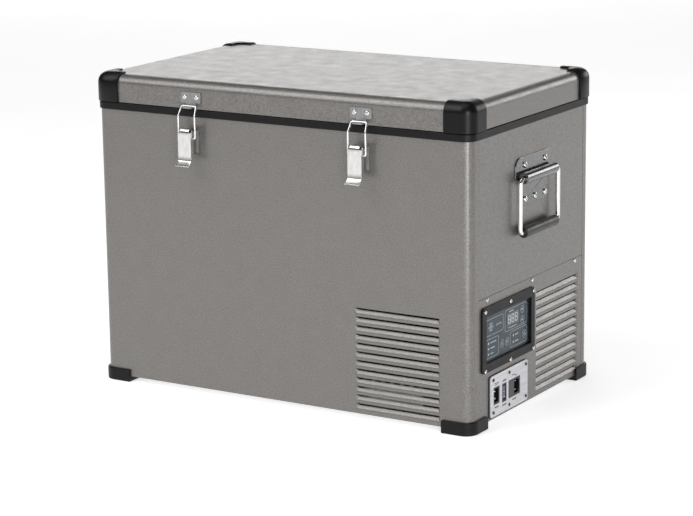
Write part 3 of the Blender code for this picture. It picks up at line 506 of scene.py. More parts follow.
rim_low, rim_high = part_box("rim_frame")
rim = slab("rim_moulding", rim_low, rim_high, 2, 0.0185, 12, ease=0.001)
WALL, TUB_CORNER = 0.038, 0.026
mouth_low = Vector((case_low.x + WALL, case_low.y + WALL, rim_low.z - 0.01))
mouth_high = Vector((case_high.x - WALL, case_high.y - WALL, rim_high.z + 0.01))
carve(rim, slab("mouth", mouth_low, mouth_high, 2, TUB_CORNER, 10))
fit(smooth(rim, 35), black_moulding, "black_plastic", "rim_frame")

# ------ tub
# The tub is pressed from stainless sheet with coved corners: deep on the left, and shallow on the
# right, where it steps up over the machine bay.

stainless_tub = finish(
    "tub_stainless", grey(0.55), grey(0.64), 420, (0.3, 0.38), 0.015, (1, 1, 0.06), Metallic=1.0
)
TUB_TOP, STEP_X, STEP_FLOOR, TUB_FLOOR = 0.4233, 0.066, 0.246, 0.052
FLOOR_COVE = 0.012
deep_low, deep_high = (*mouth_low.xy, TUB_FLOOR), (STEP_X, mouth_high.y, STEP_FLOOR + 0.05)
tub = slab("tub_liner", deep_low, deep_high, 2, TUB_CORNER, 10)
round_edges(tub, on_plane(2, TUB_FLOOR), FLOOR_COVE, 5)
shallow_low, shallow_high = (*mouth_low.xy, STEP_FLOOR), (*mouth_high.xy, TUB_TOP)
carve(tub, slab("shallow", shallow_low, shallow_high, 2, TUB_CORNER, 10), "UNION")
remove_faces(tub, lambda face: face.normal.z > 0.9 and middle(face).z > TUB_TOP - 0.001)
turn_round(tub)
thicken(tub)
fit(smooth(tub, 35), stainless_tub, "stainless", "inner_liner")

# ------ machine bay
# Behind the louvres: the compressor's enamelled steel dome, its copper pipes, a black finned
# condenser with its fan, its black partly a coating and partly painted shade that makes the
# louvre slots look dark, the ribbed power supply and the sealed controller.

black_enamel = finish(
    "black_enamel", grey(0.005), grey(0.014), 300, (0.2, 0.34), 0.1, Coat_Weight=0.5
)
copper = finish(
    "copper_tube", (0.5, 0.2, 0.11, 1), (0.78, 0.38, 0.24, 1), 240, (0.22, 0.4), 0.05, Metallic=1.0
)
raw_aluminium = finish(
    "raw_aluminium", grey(0.48), grey(0.68), 300, (0.3, 0.42), 0.06, (1, 1, 0.1), Metallic=0.95
)
rigid_foam = finish("rigid_foam", (0.62, 0.52, 0.28, 1), (0.8, 0.7, 0.42, 1), 420, (0.8, 0.95), 0.5)
circuit_board = finish(
    "circuit_board", (0.01, 0.07, 0.03, 1), (0.03, 0.15, 0.07, 1), 300, (0.3, 0.45), 0.1
)
# The condenser's black is partly its fin coating and partly painted shade for the dark behind the
# louvre slots.
dress(black_enamel, "compressor", "condenser")
dress(copper, "discharge_pipe", "suction_pipe")
dress(raw_aluminium, "power_supply", "evaporator")
dress(black_moulding, "fan_frame", "fan_rotor", "compressor_controller")
dress(rigid_foam, "insulation_foam", "lid_foam")
dress(circuit_board, "display_board")

# ------ control panel
# A black bezel is screwed to the service panel. A printed film lies a few millimetres back in it,
# with a three-digit display, domed keys and small indicator lamps.

THROUGH_LOW, THROUGH_HIGH = 0.3, 0.35


def front_slab(name, low, high, radius, segments, ease):
    """A slab that faces +X, with rounded corners and only its front outline eased."""
    return slab(name, low, high, 0, radius, segments, ease, (1,))


def opening(low, high, gap=0.0003):
    """A cutter for an opening along X that clears a box by a gap."""
    low, high = widened(low, high, gap)
    return block("opening", (THROUGH_LOW, low.y, low.z), (THROUGH_HIGH, high.y, high.z))


bezel_low, bezel_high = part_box("control_bezel")
flange_low = (case_high.x + 0.0003, bezel_low.y, bezel_low.z)
bezel = front_slab("control_bezel_moulding", flange_low, bezel_high, 0.007, 8, 0.001)
sleeve_low, sleeve_high = widened(overlay_low, overlay_high, 0.0017)
sleeve_low.x, sleeve_high.x = bezel_low.x, bezel_high.x - 0.001
carve(bezel, slab("sleeve", sleeve_low, sleeve_high, 0, 0.001, 3), "UNION")
carve(bezel, opening(overlay_low, overlay_high))
window_low, window_high = widened(overlay_low, overlay_high, 0.0003)


def window_edge(edge):
    at = middle(edge)
    sides = (at.y - window_low.y, at.y - window_high.y, at.z - window_low.z, at.z - window_high.z)
    return min(map(abs, sides)) < 1e-4 and lies_at(edge, 0, bezel_high.x)


round_edges(bezel, window_edge, 0.0007, 3)
fit(smooth(bezel, 35), black_moulding, "black_plastic", "control_bezel")

overlay_film = finish(
    "overlay_film", (0.018, 0.028, 0.038, 1), (0.03, 0.043, 0.054, 1), 120, (0.24, 0.36), 0.03,
    Specular_IOR_Level=0.35,
)
overlay_ink = finish(
    "overlay_ink", (0.34, 0.42, 0.48, 1), (0.48, 0.56, 0.62, 1), 600, (0.4, 0.5), 0.02
)
display_glass = finish(
    "display_glass", grey(0.006), grey(0.014), 90, (0.06, 0.12), 0.01, Coat_Weight=0.6
)
display_glow = finish(
    "display_glow", (0.4, 0.46, 0.5, 1), (0.52, 0.58, 0.62, 1), 400, (0.3, 0.4), 0.0,
    Emission_Color=(0.8, 0.9, 1.0, 1), Emission_Strength=0.08,
)


def cylinder(name, centre, radius, length, vertices=32, turn=(0, 0, 0)):
    bpy.ops.mesh.primitive_cylinder_add(
        vertices=vertices, radius=radius, depth=length, location=centre, rotation=turn
    )
    return settled(name)


def disc(name, place, radius, depth, vertices=32):
    """A round plug that faces +X, its back at the place."""
    centre = Vector(place) + Vector((depth / 2, 0, 0))
    return cylinder(name, centre, radius, depth, vertices, (0, math.pi / 2, 0))


PRINT_CORNER = Vector((overlay_high.x, overlay_low.y + 0.0025, overlay_low.z + 0.0005))
INK = 0.00012


def on_film(across, height, lift=0.0):
    """A point on the film, from the lower left corner of its print in millimetres."""
    return PRINT_CORNER + Vector((lift, across / 1000, height / 1000))


def patch(name, across, height, width, tall, lift=0.0):
    low = on_film(across, height, lift)
    return block(name, low, low + Vector((INK, width / 1000, tall / 1000)))


def printed_frame(name, across, height, width, tall, radius, line=0.5):
    """A line printed round a rounded rectangle."""
    low = on_film(across, height)
    high = low + Vector((INK, width / 1000, tall / 1000))
    inset = Vector((-0.001, line / 1000, line / 1000))
    inner = slab("inner", low + inset, high - inset, 0, (radius - line) / 1000, 5)
    return carve(slab(name, low, high, 0, radius / 1000, 5), inner)


def ring(name, across, height, radius, line=0.5, lift=0.0):
    made = disc(name, on_film(across, height, lift), radius / 1000, INK)
    hole = disc("hole", on_film(across, height, lift - 0.001), (radius - line) / 1000, 0.003)
    return carve(made, hole)


def bar(name, across, height, length, line, degrees, lift=0.0):
    """A short printed line about its middle."""
    made = patch(name, -length / 2, -line / 2, length, line, lift)
    turned = Matrix.Rotation(math.radians(degrees), 4, "X") @ Matrix.Translation(-on_film(0, 0))
    made.data.transform(Matrix.Translation(on_film(across, height)) @ turned)
    return made


film = front_slab("overlay_film_sheet", overlay_low, overlay_high, 0.001, 3, 0.0002)
KEY_LIFT, KEY_GAP, KEY_DEPTH = 0.00032, 0.0003, 0.0022
for key in ("up", "down", "power", "mode", "cool"):
    key_low, key_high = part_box("key_" + key)
    radius = (key_high.y - key_low.y) / 2
    _, across, height = ((key_low + key_high) / 2 - PRINT_CORNER) * 1000
    carve(film, disc("hole", on_film(across, height, -0.004), radius + KEY_GAP, 0.008))
    dome = disc(
        "key_dome_" + key, on_film(across, height, -KEY_DEPTH), radius, KEY_DEPTH + KEY_LIFT
    )
    round_edges(dome, on_plane(0, overlay_high.x + KEY_LIFT), 0.0003, 3)
    fit(smooth(dome), overlay_film, "overlay_film", "key_" + key, body="button_" + key)
    marks = [ring("key_mark_" + key, across, height, radius * 1000 - 0.9, 0.45, KEY_LIFT)]
    if key in ("up", "down"):
        arrow = disc("arrow", on_film(across, height, KEY_LIFT), 0.0026, INK, 3)
        turn = Matrix.Rotation(math.radians(-90 if key == "up" else 90), 4, "X")
        centre = Matrix.Translation(on_film(across, height))
        arrow.data.transform(centre @ turn @ centre.inverted())
        marks.append(arrow)
    elif key == "power":
        marks.append(ring("loop", across, height - 0.3, 2.5, 0.5, KEY_LIFT))
        marks.append(bar("stroke", across, height + 2.0, 2.4, 0.6, 90, KEY_LIFT))
    elif key == "cool":
        marks += [bar("arm", across, height, 7, 0.5, turn, KEY_LIFT) for turn in (0, 60, 120)]
    else:
        for step in (-1.8, 0, 1.8):
            marks.append(bar("level", across, height + step, 5, 0.6, 0, KEY_LIFT))
    fit(joined("key_mark_" + key, marks), overlay_ink, "overlay_film", body="button_" + key)
fit(smooth(film), overlay_film, "overlay_film", "control_overlay")

ink = [
    printed_frame("overlay_print", 3, 37, 53, 24, 4),
    printed_frame("display_frame", 61, 31, 69, 32, 4),
    printed_frame("left_frame", 3, 4, 39, 28, 4),
    printed_frame("right_frame", 77, 4, 53, 24, 4),
]
CRYSTAL, BARB_REACH = Vector((18, 49)), 5.4
ink += [bar("arm", *CRYSTAL, 15, 0.8, turn) for turn in (0, 60, 120)]
for turn in range(0, 360, 60):
    angle = math.radians(turn)
    barb = CRYSTAL + Vector((math.cos(angle), math.sin(angle))) * BARB_REACH
    ink.append(bar("barb", *barb, 4.4, 0.7, turn + 90))
ink += [bar("wave", 36 + 4 * step, 49, 5.2, 1.0, (-1) ** step * 32) for step in range(4)]
LAMPS = ((11, 26), (11, 18), (11, 10), (87, 21), (87, 11))
ink += [ring("lamp_ring", *place, 1.7, 0.35) for place in LAMPS]
ink += [
    patch("level", 17 + 4.6 * step, height - 0.8, 3.4, 1.6)
    for height, count in ((26, 4), (18, 3), (10, 2))
    for step in range(count)
]
ink += [patch("dash", 92, height - 0.7, 11, 1.4) for height in (21, 11)]
ink += [patch("dash", 74, 58.5, 14, 1.2), patch("dash", 72, 34.6, 25, 1.0)]
fit(joined("overlay_print", ink), overlay_ink, "overlay_film")

GLASS = 0.0003
screen = slab("display_window", on_film(67, 38.5), on_film(104, 56.5, GLASS), 0, 0.0012, 4)
fit(smooth(screen), display_glass, "overlay_film")
segments = []
for digit in range(3):
    left, low, wide, tall, line = 70.5 + 10.6 * digit, 41.3, 7.6, 12.4, 1.15
    for height in (low, low + (tall - line) / 2, low + tall - line):
        segments.append(patch("display_digits", left + 0.9, height, wide - 1.8, line, GLASS))
    for across in (left, left + wide - line):
        for height in (low + 0.9, low + tall / 2 + 0.4):
            segments.append(patch("segment", across, height, line, tall / 2 - 1.3, GLASS))
fit(joined("display_digits", segments), display_glow, "overlay_film")
lamps = []
for across, height in LAMPS:
    lens_dome = disc("indicator_lamps", on_film(across, height, -0.0002), 0.0011, 0.0006, 16)
    round_edges(lens_dome, lambda edge: lies_at(edge, 0, overlay_high.x + 0.0004), 0.0004, 2)
    lamps.append(lens_dome)
fit(smooth(joined("indicator_lamps", lamps)), display_glow, "overlay_film")


def screw_head(name, radius, height):
    """A pan head with a cross recess, its seat at the origin and its top along +Z."""
    head = cylinder(name, (0, 0, height / 2), radius, height, 20)
    round_edges(head, on_plane(2, height), height * 0.72, 4)
    reach, half = radius * 0.6, radius * 0.15
    for far_x, far_y in ((reach, half), (half, reach)):
        carve(head, block("slot", (-far_x, -far_y, height * 0.3), (far_x, far_y, height * 2)))
    return smooth(head, 35)


bright_steel = finish(
    "bright_plated_steel", grey(0.66), grey(0.82), 500, (0.14, 0.26), 0.03, Metallic=1.0
)
TO_RIGHT, TO_LEFT, TO_FRONT, TO_BACK = (1, 0, 0), (-1, 0, 0), (0, -1, 0), (0, 1, 0)


def screws(name, size, places, facing, material=bright_steel, slot="chrome", body="case"):
    """Screw heads of one radius and height, each turned a little differently, as one piece."""
    head = screw_head("screw_head", *size)
    turned = Vector(facing).to_track_quat("Z", "Y").to_matrix().to_4x4()
    made = []
    for count, place in enumerate(places):
        twist = Matrix.Rotation(math.radians(37 * count + 15), 4, "Z")
        made.append(copied(head, name, Matrix.Translation(place) @ turned @ twist))
    bpy.data.objects.remove(head)
    return fit(joined(name, made), material, slot, body=body)


SMALL_SCREW, SUNK = (0.003, 0.0018), 0.0001
rows = (bezel_low.z + 0.0035, bezel_high.z - 0.006)
columns = (
    bezel_low.y + 0.0085, (bezel_low.y + bezel_high.y) / 2 + 0.0035, bezel_high.y - 0.0052
)
places = [(bezel_high.x - SUNK, y, z) for z in rows for y in columns]
screws("bezel_screws", SMALL_SCREW, places, TO_RIGHT)
places = [(case_high.x, y, 0.189) for y in (-0.13175, 0.00825, 0.14925)]
screws("service_panel_screws", SMALL_SCREW, places, TO_RIGHT)

# ------ sockets
# A brushed aluminium plate on a rubber gasket frames three moulded sockets: a two-pin DC socket, a
# blade fuse in its holder, and a mains inlet with its fuse drawer.

brushed_plate = finish(
    "brushed_aluminium", (0.5, 0.5, 0.53, 1), (0.66, 0.66, 0.69, 1), 330, (0.3, 0.42), 0.05,
    (1, 0.05, 1), Metallic=0.6,
)
socket_black = finish("socket_black", grey(0.004), grey(0.01), 500, (0.3, 0.42), 0.1)
drawer_grey = finish("drawer_grey", grey(0.035), grey(0.055), 700, (0.4, 0.5), 0.12)
fuse_blue = finish(
    "fuse_blue", (0.008, 0.012, 0.05, 1), (0.02, 0.03, 0.12, 1), 400, (0.12, 0.22), 0.02,
    Coat_Weight=0.5,
)
rubber = finish("gasket_rubber", grey(0.008), grey(0.018), 700, (0.6, 0.8), 0.3)
boxes = {name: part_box(name) for name in ("dc_socket", "fuse_holder", "ac_inlet")}
gasket_low, _ = widened(plate_low, plate_high, 0.0016)
_, gasket_high = widened(plate_low, plate_high, 0.0006)
gasket_low.x, gasket_high.x = case_high.x + 0.00002, case_high.x + 0.0013
gasket = front_slab("socket_gasket", gasket_low, gasket_high, 0.005, 6, 0.0003)
plate = front_slab("socket_plate", (gasket_high.x, *plate_low.yz), plate_high, 0.004, 6, 0.0004)
for low, high in boxes.values():
    for sheet in (plate, gasket):
        carve(sheet, opening(low, high))
fit(smooth(plate, 35), brushed_plate, "plate_aluminium", "power_plate")
fit(smooth(gasket, 35), rubber, "gasket_rubber")


def socket_body(name, low, high):
    return front_slab(name, low, high, 0.0015, 4, 0.0004)


def recessed(body, low, high, floor_x):
    """Sinks a round-cornered recess into a socket's face, down to that depth."""
    recess = slab("recess", (floor_x, low.y, low.z), (THROUGH_HIGH, high.y, high.z), 0, 0.002, 4)
    return smooth(carve(body, recess), 35)


def prongs(name, places, radius, reach):
    """Contact pins with rounded tips, along X."""
    made = []
    for y, z in places:
        one = disc(name, (reach[0], y, z), radius, reach[1] - reach[0], 16)
        round_edges(one, lambda edge: lies_at(edge, 0, reach[1]), radius * 0.7, 3)
        made.append(one)
    return fit(smooth(joined(name, made)), bright_steel, "chrome")


low, high = boxes["dc_socket"]
dc_body = socket_body("dc_socket_body", low, high)
recessed(dc_body, *widened(low, high, -0.0023), high.x - 0.02)
fit(dc_body, socket_black, "black_plastic", "dc_socket")
y, z = ((low + high) / 2).yz
prongs("dc_pins", [(y, z - 0.0055), (y, z + 0.0055)], 0.0016, (0.303, 0.3205))

low, high = boxes["fuse_holder"]
FUSE_FACE = case_high.x + 0.0026
FUSE_FLOOR, FUSE_RIM = FUSE_FACE - 0.0045, Vector((0, 0.0017, 0.0022))
fuse_body = socket_body("fuse_holder_body", low, (FUSE_FACE, *high.yz))
recessed(fuse_body, low + FUSE_RIM, high - FUSE_RIM, FUSE_FLOOR)
fit(fuse_body, socket_black, "blue_plastic", "fuse_holder")
y, z = ((low + high) / 2).yz
blade_low = (FUSE_FLOOR, y - 0.0042, z - 0.0095)
blade_high = (FUSE_FACE - 0.0004, y + 0.0042, z + 0.0095)
blade = front_slab("blade_fuse", blade_low, blade_high, 0.001, 3, 0.0006)
fit(smooth(blade), fuse_blue, "blue_plastic")
prongs("fuse_test_points", [(y, z - 0.006), (y, z + 0.001)], 0.0009, (FUSE_FACE - 0.001, FUSE_FACE))

low, high = boxes["ac_inlet"]
WELL_RIM, DRAWER_WIDTH = 0.0027, 0.0156
well_low = (high.x - 0.018, low.y + DRAWER_WIDTH + 0.0022, low.z + WELL_RIM)
well = block("well", well_low, (THROUGH_HIGH, high.y - WELL_RIM, high.z - WELL_RIM))


def keyed_corner(edge):
    return runs_along(edge, 0) and middle(edge).y > well_low[1] + 0.005


round_edges(well, keyed_corner, 0.0042, 2)
ac_body = carve(socket_body("mains_inlet_body", low, high), well)
fit(smooth(ac_body, 35), socket_black, "black_plastic", "ac_inlet")
drawer_low = (high.x - 0.002, low.y + 0.0012, low.z + 0.0014)
drawer_high = (high.x + 0.0005, drawer_low[1] + DRAWER_WIDTH, high.z - 0.0014)
drawer = front_slab("fuse_drawer", drawer_low, drawer_high, 0.001, 3, 0.0004)
fit(smooth(drawer), drawer_grey, "black_plastic")
MAINS_PINS = ((-0.04225, 0.049), (-0.04225, 0.036), (-0.04725, 0.0425))
prongs("mains_pins", MAINS_PINS, 0.0013, (0.303, 0.3195))


plate_ink = finish("plate_ink", grey(0.003), grey(0.01), 500, (0.5, 0.6), 0.0)
STROKE = 0.0011
marks = []


def plate_mark(name, y, z, width, tall=STROKE):
    """Prints a bar on the plate, from its lower left corner."""
    mark = block(name, (plate_high.x, y, z), (plate_high.x + 0.0001, y + width, z + tall))
    marks.append(mark)
    return mark


for name, (low, high) in boxes.items():
    centre, above, below = (low.y + high.y) / 2, high.z + 0.003, low.z - 0.0055
    left = centre - 0.006
    if name == "dc_socket":
        plate_mark("plate_print", left, above + 0.0022, 0.012)
        for step in range(3):
            plate_mark("dash", left + 0.0044 * step, above, 0.0032)
    elif name == "fuse_holder":
        gap_low = (THROUGH_LOW, centre - 0.0035, above + 0.0005)
        gap_high = (THROUGH_HIGH, centre + 0.0035, above + 0.0021)
        outline = plate_mark("fuse", centre - 0.004, above, 0.008, 0.0026)
        carve(outline, block("gap", gap_low, gap_high))
        plate_mark("wire", left, above + 0.0009, 0.012, 0.0008)
    else:
        for step in range(12):
            height = above + 0.0014 * (1 + math.sin(math.tau * step / 12))
            plate_mark("wave", centre - 0.0085 + 0.0014 * step, height, 0.0015)
    plate_mark("dash", left, below, 0.012, 0.0016)
fit(joined("plate_print", marks), plate_ink, "plate_aluminium")
rows = (plate_low.z + 0.0066, plate_high.z - 0.0064)
columns = (plate_low.y + 0.0085, plate_low.y + 0.0575, plate_high.y - 0.006)
places = [(plate_high.x - SUNK, y, z) for z in rows for y in columns]
screws("socket_plate_screws", (0.0026, 0.0013), places, TO_RIGHT, drawer_grey, "plate_aluminium")

# ------ end handles
# Each end carries a chromed chest handle: a pressed plate with a rolled barrel, held by five
# screws, and a bent steel rod that swings in the barrel and runs through a black grip.

chrome = finish("chrome_plate", grey(0.74), grey(0.86), 220, (0.05, 0.13), 0.015, Metallic=1.0)
plate_chrome = finish(
    "handle_plate_chrome", grey(0.13), grey(0.2), 300, (0.14, 0.22), 0.02, Metallic=1.0
)
grip_plastic = finish("grip_plastic", grey(0.007), grey(0.016), 650, (0.34, 0.46), 0.2)


def bent_rod(name, points, radius, bend, sides=16, steps=6):
    """A round bar drawn out straight along the points, and spun round a bend at each corner."""
    points = [Vector(point) for point in points]
    heading = (points[1] - points[0]).normalized()
    bpy.ops.mesh.primitive_circle_add(
        vertices=sides,
        radius=radius,
        fill_type="NGON",
        location=points[0],
        rotation=heading.to_track_quat("Z", "Y").to_euler(),
    )
    rod = settled(name)
    pick(rod, "FACE")
    at = points[0]
    for corner, after in zip(points[1:], points[2:] + [None]):
        heading = (corner - at).normalized()
        end, angle = corner, 0.0
        if after:
            angle = heading.angle(after - corner)
            end = corner - heading * bend * math.tan(angle / 2)
        pull(*(end - at))
        at = end
        if after:
            axis = heading.cross(after - corner).normalized()
            centre = end + axis.cross(heading) * bend
            bpy.ops.mesh.spin(steps=steps, angle=-angle, center=centre, axis=axis)
            at = centre + Matrix.Rotation(angle, 3, axis) @ (end - centre)
    bpy.ops.mesh.select_all(action="SELECT")
    bpy.ops.mesh.normals_make_consistent(inside=False)
    close()
    return smooth(rod)


def bored(piece, axis, inset, depth):
    """Sinks a round hole into each end of a bar."""
    for facing in (-1, 1):
        pick(piece, "FACE", lambda face: face.normal[axis] * facing > 0.99)
        bpy.ops.mesh.inset(thickness=inset)
        pull(*(-facing * depth if i == axis else 0 for i in range(3)))
        close()
    return piece


def bar_along_y(name, centre, radius, half):
    return cylinder(name, centre, radius, 2 * half, turn=(math.pi / 2, 0, 0))


def handle_part(name, half, bottom, top):
    """A flat part of the handle's plate, centred on the handle."""
    low, high = (seat_x, HANDLE_Y - half, bottom), (face_x, HANDLE_Y + half, top)
    return block(name, low, high)


def round_corners(piece, z, radius, segments):
    """Rounds a flat part's corners at one height."""
    round_edges(piece, lambda edge: runs_along(edge, 0) and lies_at(edge, 2, z), radius, segments)


def end_rims(centre, half):
    """A test for the outer rims of a bored bar along Y."""

    def rim(edge):
        off = middle(edge) - centre
        return abs(abs(off.y) - half) < 1e-5 and off.xz.length > 0.006

    return rim


plate_low, plate_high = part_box("handle_plate_right")
grip_low, grip_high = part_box("handle_grip_right")
HANDLE_Y = (plate_low.y + plate_high.y) / 2
BARREL = Vector((case_high.x + 0.0095, HANDLE_Y, 0.349))
GRIP = Vector((BARREL.x, HANDLE_Y, (grip_low.z + grip_high.z) / 2))
seat_x, face_x = case_high.x + 0.0003, case_high.x + 0.0021
PLATE_TOP, PLATE_BOTTOM, APRON_BOTTOM = 0.378, 0.345, 0.306
handle_plate = handle_part("handle_plate_pressed_right", 0.06, PLATE_BOTTOM, PLATE_TOP)
round_corners(handle_plate, PLATE_TOP, 0.0155, 10)
round_corners(handle_plate, PLATE_BOTTOM, 0.006, 5)
apron = handle_part("apron", 0.044, APRON_BOTTOM, 0.36)
round_corners(apron, APRON_BOTTOM, 0.0105, 8)
carve(handle_plate, apron, "UNION")


def face_outline(edge):
    sides = (face for face in edge.link_faces if abs(face.normal.x) < 0.5)
    return lies_at(edge, 0, face_x) and any(sides)


round_edges(handle_plate, face_outline, 0.0008, 3)
TUBE, BARREL_HALF, GRIP_HALF = 0.008, 0.049, 0.0505
barrel = bored(bar_along_y("barrel", BARREL, TUBE, BARREL_HALF), 1, 0.0042, 0.015)
round_edges(barrel, end_rims(BARREL, BARREL_HALF), 0.0007, 3)
hem_low = (face_x - 0.0002, HANDLE_Y - 0.047, 0.3385)
hem = slab("hem", hem_low, (BARREL.x - 0.0025, HANDLE_Y + 0.047, 0.3402), 1, 0.0006, 3)
handle_plate = smooth(joined("handle_plate_pressed_right", [handle_plate, barrel, hem]), 35)

ROD_END, ROD_HALF = 0.038, 0.06
rod_half = [(ROD_END, BARREL.z), (ROD_HALF, BARREL.z), (ROD_HALF, GRIP.z)]
rod_points = [(BARREL.x, HANDLE_Y - along, z) for along, z in rod_half]
rod_points += [(BARREL.x, HANDLE_Y + along, z) for along, z in reversed(rod_half)]
rod = bent_rod("handle_rod_right", rod_points, 0.0035, 0.0075)
grip = bored(bar_along_y("handle_grip_moulding_right", GRIP, TUBE, GRIP_HALF), 1, 0.0041, 0.03)
round_edges(grip, end_rims(GRIP, GRIP_HALF), 0.0014, 4)
smooth(grip)
LARGE_SCREW = (0.0046, 0.0028)
places = [(face_x - SUNK, HANDLE_Y + y, 0.366) for y in (-0.032, 0.032)]
places += [(face_x - SUNK, HANDLE_Y + y, 0.3155) for y in (-0.031, 0, 0.031)]
screws("handle_screws_right", LARGE_SCREW, places, TO_RIGHT)
MIRROR_X = Matrix.Scale(-1, 4, (1, 0, 0))
right_parts = (handle_plate, rod, grip)
left_parts = [copied(piece, piece.name.replace("right", "left"), MIRROR_X) for piece in right_parts]
screws("handle_screws_left", LARGE_SCREW, [(-x, y, z) for x, y, z in places], TO_LEFT)
for side, (plate_piece, rod_piece, grip_piece) in (("right", right_parts), ("left", left_parts)):
    fit(plate_piece, plate_chrome, "chrome", "handle_plate_" + side)
    fit(rod_piece, chrome, "chrome", "handle_bail_" + side, body="handle_" + side)
    fit(grip_piece, grip_plastic, "grip_plastic", "handle_grip_" + side, body="handle_" + side)

# ------ draw latches
# Two over-centre latches are pressed from polished stainless. A wire bail, hooked under a tongue on
# the lid, is drawn down by a lever that turns on a pin between the ears of its base plate.

polished = finish(
    "polished_stainless", grey(0.56, 0.02), grey(0.68, 0.02), 300, (0.12, 0.2), 0.02, (1, 1, 0.25),
    Metallic=1.0,
)
plate_steel = finish(
    "latch_plate_steel", grey(0.26), grey(0.36), 300, (0.26, 0.36), 0.04, (1, 1, 0.25), Metallic=1.0
)
LATCH_X = 0.146
LEVER_LOW, LEVER_HIGH, LEVER_HALF, NECK_HALF = 0.3615, 0.4025, 0.0115, 0.0079
LIP_Z, SHOULDER_Z = 0.3685, 0.399
FLANGE = 0.0092
PIN_OUT, PIN_Z = 0.0163, 0.4033
front_y = case_low.y


def refined(node, name, width, steps=2):
    """A merged copy of a CAD node, its faces made whole and its sharp edges rounded."""
    made = bpy.data.objects.new(name, nodes[node].data.copy())
    bpy.context.scene.collection.objects.link(made)
    made.data.name = name
    alone(made)
    bpy.ops.mesh.customdata_custom_splitnormals_clear()
    merged(made)
    pick(made, "FACE")
    bpy.ops.mesh.dissolve_limited(angle_limit=math.radians(2))
    close()
    ease_edges(made, width, steps, 40)
    return smooth(made, 42)


def lever(name, centre):
    """The lever: a face with folded sides, a flared lip, and a neck curled over the pin."""
    face_y = front_y - 0.022
    bpy.ops.mesh.primitive_plane_add(
        size=1,
        location=(centre, face_y, (LEVER_LOW + LEVER_HIGH) / 2),
        rotation=(math.pi / 2, 0, 0),
    )
    made = settled(name, (2 * LEVER_HALF, LEVER_HIGH - LEVER_LOW, 1))
    for x in (centre - NECK_HALF, centre + NECK_HALF):
        score(made, 0, x)
    for z in (LIP_Z, SHOULDER_Z):
        score(made, 2, z)
    pick(made, "EDGE", on_plane(2, LEVER_LOW))
    for out, down, wide in ((0.0010, 0.0018, 1.0), (0.0062, 0.0058, 1.07), (0.0009, -0.0002, 1.0)):
        pull(0, -out, -down)
        bpy.ops.transform.resize(value=(wide, 1, 1))
    close()
    for side in (-1, 1):
        edge_x = centre + side * LEVER_HALF
        pick(made, "EDGE", lambda edge: lies_at(edge, 0, edge_x) and middle(edge).z > LIP_Z)
        pull(0, FLANGE, 0)
        close()
    deep_y = face_y + FLANGE
    pick(made, "VERT", lambda point: lies_at(point, 1, deep_y) and point.co.z < 0.37)
    bpy.ops.transform.translate(value=(0, -0.003, 0.003))
    close()

    def neck(edge):
        at_top = lies_at(edge, 2, LEVER_HIGH) and lies_at(edge, 1, face_y)
        return at_top and abs(middle(edge).x - centre) < 0.005

    pick(made, "EDGE", neck)
    pull(0, 0.0003, 0.0014)
    pin_centre = (centre, front_y - PIN_OUT, PIN_Z)
    bpy.ops.mesh.spin(steps=12, angle=math.radians(215), center=pin_centre, axis=(1, 0, 0))
    close()
    thicken(made, 0.0011)
    ease_edges(made, 0.0004, 2, 35)
    pin_low = (centre - 0.0112, front_y - 0.018, 0.401)
    pin_high = (centre + 0.0112, front_y - 0.014, 0.405)
    pin = slab("pin", pin_low, pin_high, 0, 0.00199, 6, 0.0006)
    return smooth(joined(name, [made, pin]), 45)


def bail(name, centre):
    """The wire: two stubs in the lever, two legs, and a bar that hooks under the tongue."""
    bar_half, leg, stub, stub_z = 0.0125, 0.0145, 0.0102, 0.3935
    half = [(stub, 0.0145, stub_z), (leg, 0.0145, stub_z), (leg, 0.015, 0.4255)]
    half.append((bar_half, 0.0075, 0.44))
    points = [(centre - across, front_y - out, z) for across, out, z in half]
    points += [(centre + across, front_y - out, z) for across, out, z in reversed(half)]
    return bent_rod(name, points, 0.0015, 0.0022, 12, 5)


STEEL_EDGE = 0.0003
KEEPER_SCREW, BASE_SCREW, HINGE_SCREW = (0.0036, 0.0019), (0.0024, 0.0012), (0.0034, 0.0018)
for side, centre in (("left", -LATCH_X), ("right", LATCH_X)):
    base = refined("latch_base_" + side, "latch_base_plate_" + side, STEEL_EDGE)
    fit(base, plate_steel, "stainless", "latch_base_" + side)
    pressed = lever("latch_lever_pressed_" + side, centre)
    fit(pressed, polished, "stainless", "latch_lever_" + side, body="lever_" + side)
    wire = bail("latch_wire_" + side, centre)
    fit(wire, bright_steel, "stainless", "latch_bail_" + side, body="bail_" + side)
    keeper = refined("latch_keeper_" + side, "latch_keeper_plate_" + side, STEEL_EDGE)
    fit(keeper, plate_steel, "stainless", "latch_keeper_" + side, body="lid")
    places = [(centre + x, front_y - 0.0027, 0.4525) for x in (-0.0103, 0.0103)]
    screws("keeper_screws_" + side, KEEPER_SCREW, places, TO_FRONT, slot="stainless", body="lid")
    places = [(centre, front_y - 0.0017, z) for z in (0.374, 0.386)]
    screws("base_rivets_" + side, BASE_SCREW, places, TO_FRONT, slot="stainless")

# ------ lid
# The lid is a shallow painted pan with rounded top edges, its top sheet let in behind a fine seam
# along the front and the back. Black moulded caps wrap its four corners and lap over the top.

lid_low, lid_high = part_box("lid_skin")
LID_CORNER, LID_EDGE = 0.017, 0.0135
SEAM, SEAM_DEPTH = 0.0014, 0.0016


def lid_form(name, grow, bottom):
    """The lid's outer form, grown on all sides."""
    low = Vector((lid_low.x - grow, lid_low.y - grow, bottom))
    high = lid_high + Vector((grow, grow, grow))
    made = slab(name, low, high, 2, LID_CORNER + grow, 12)
    round_edges(made, on_plane(2, high.z), LID_EDGE + grow, 10)
    return made


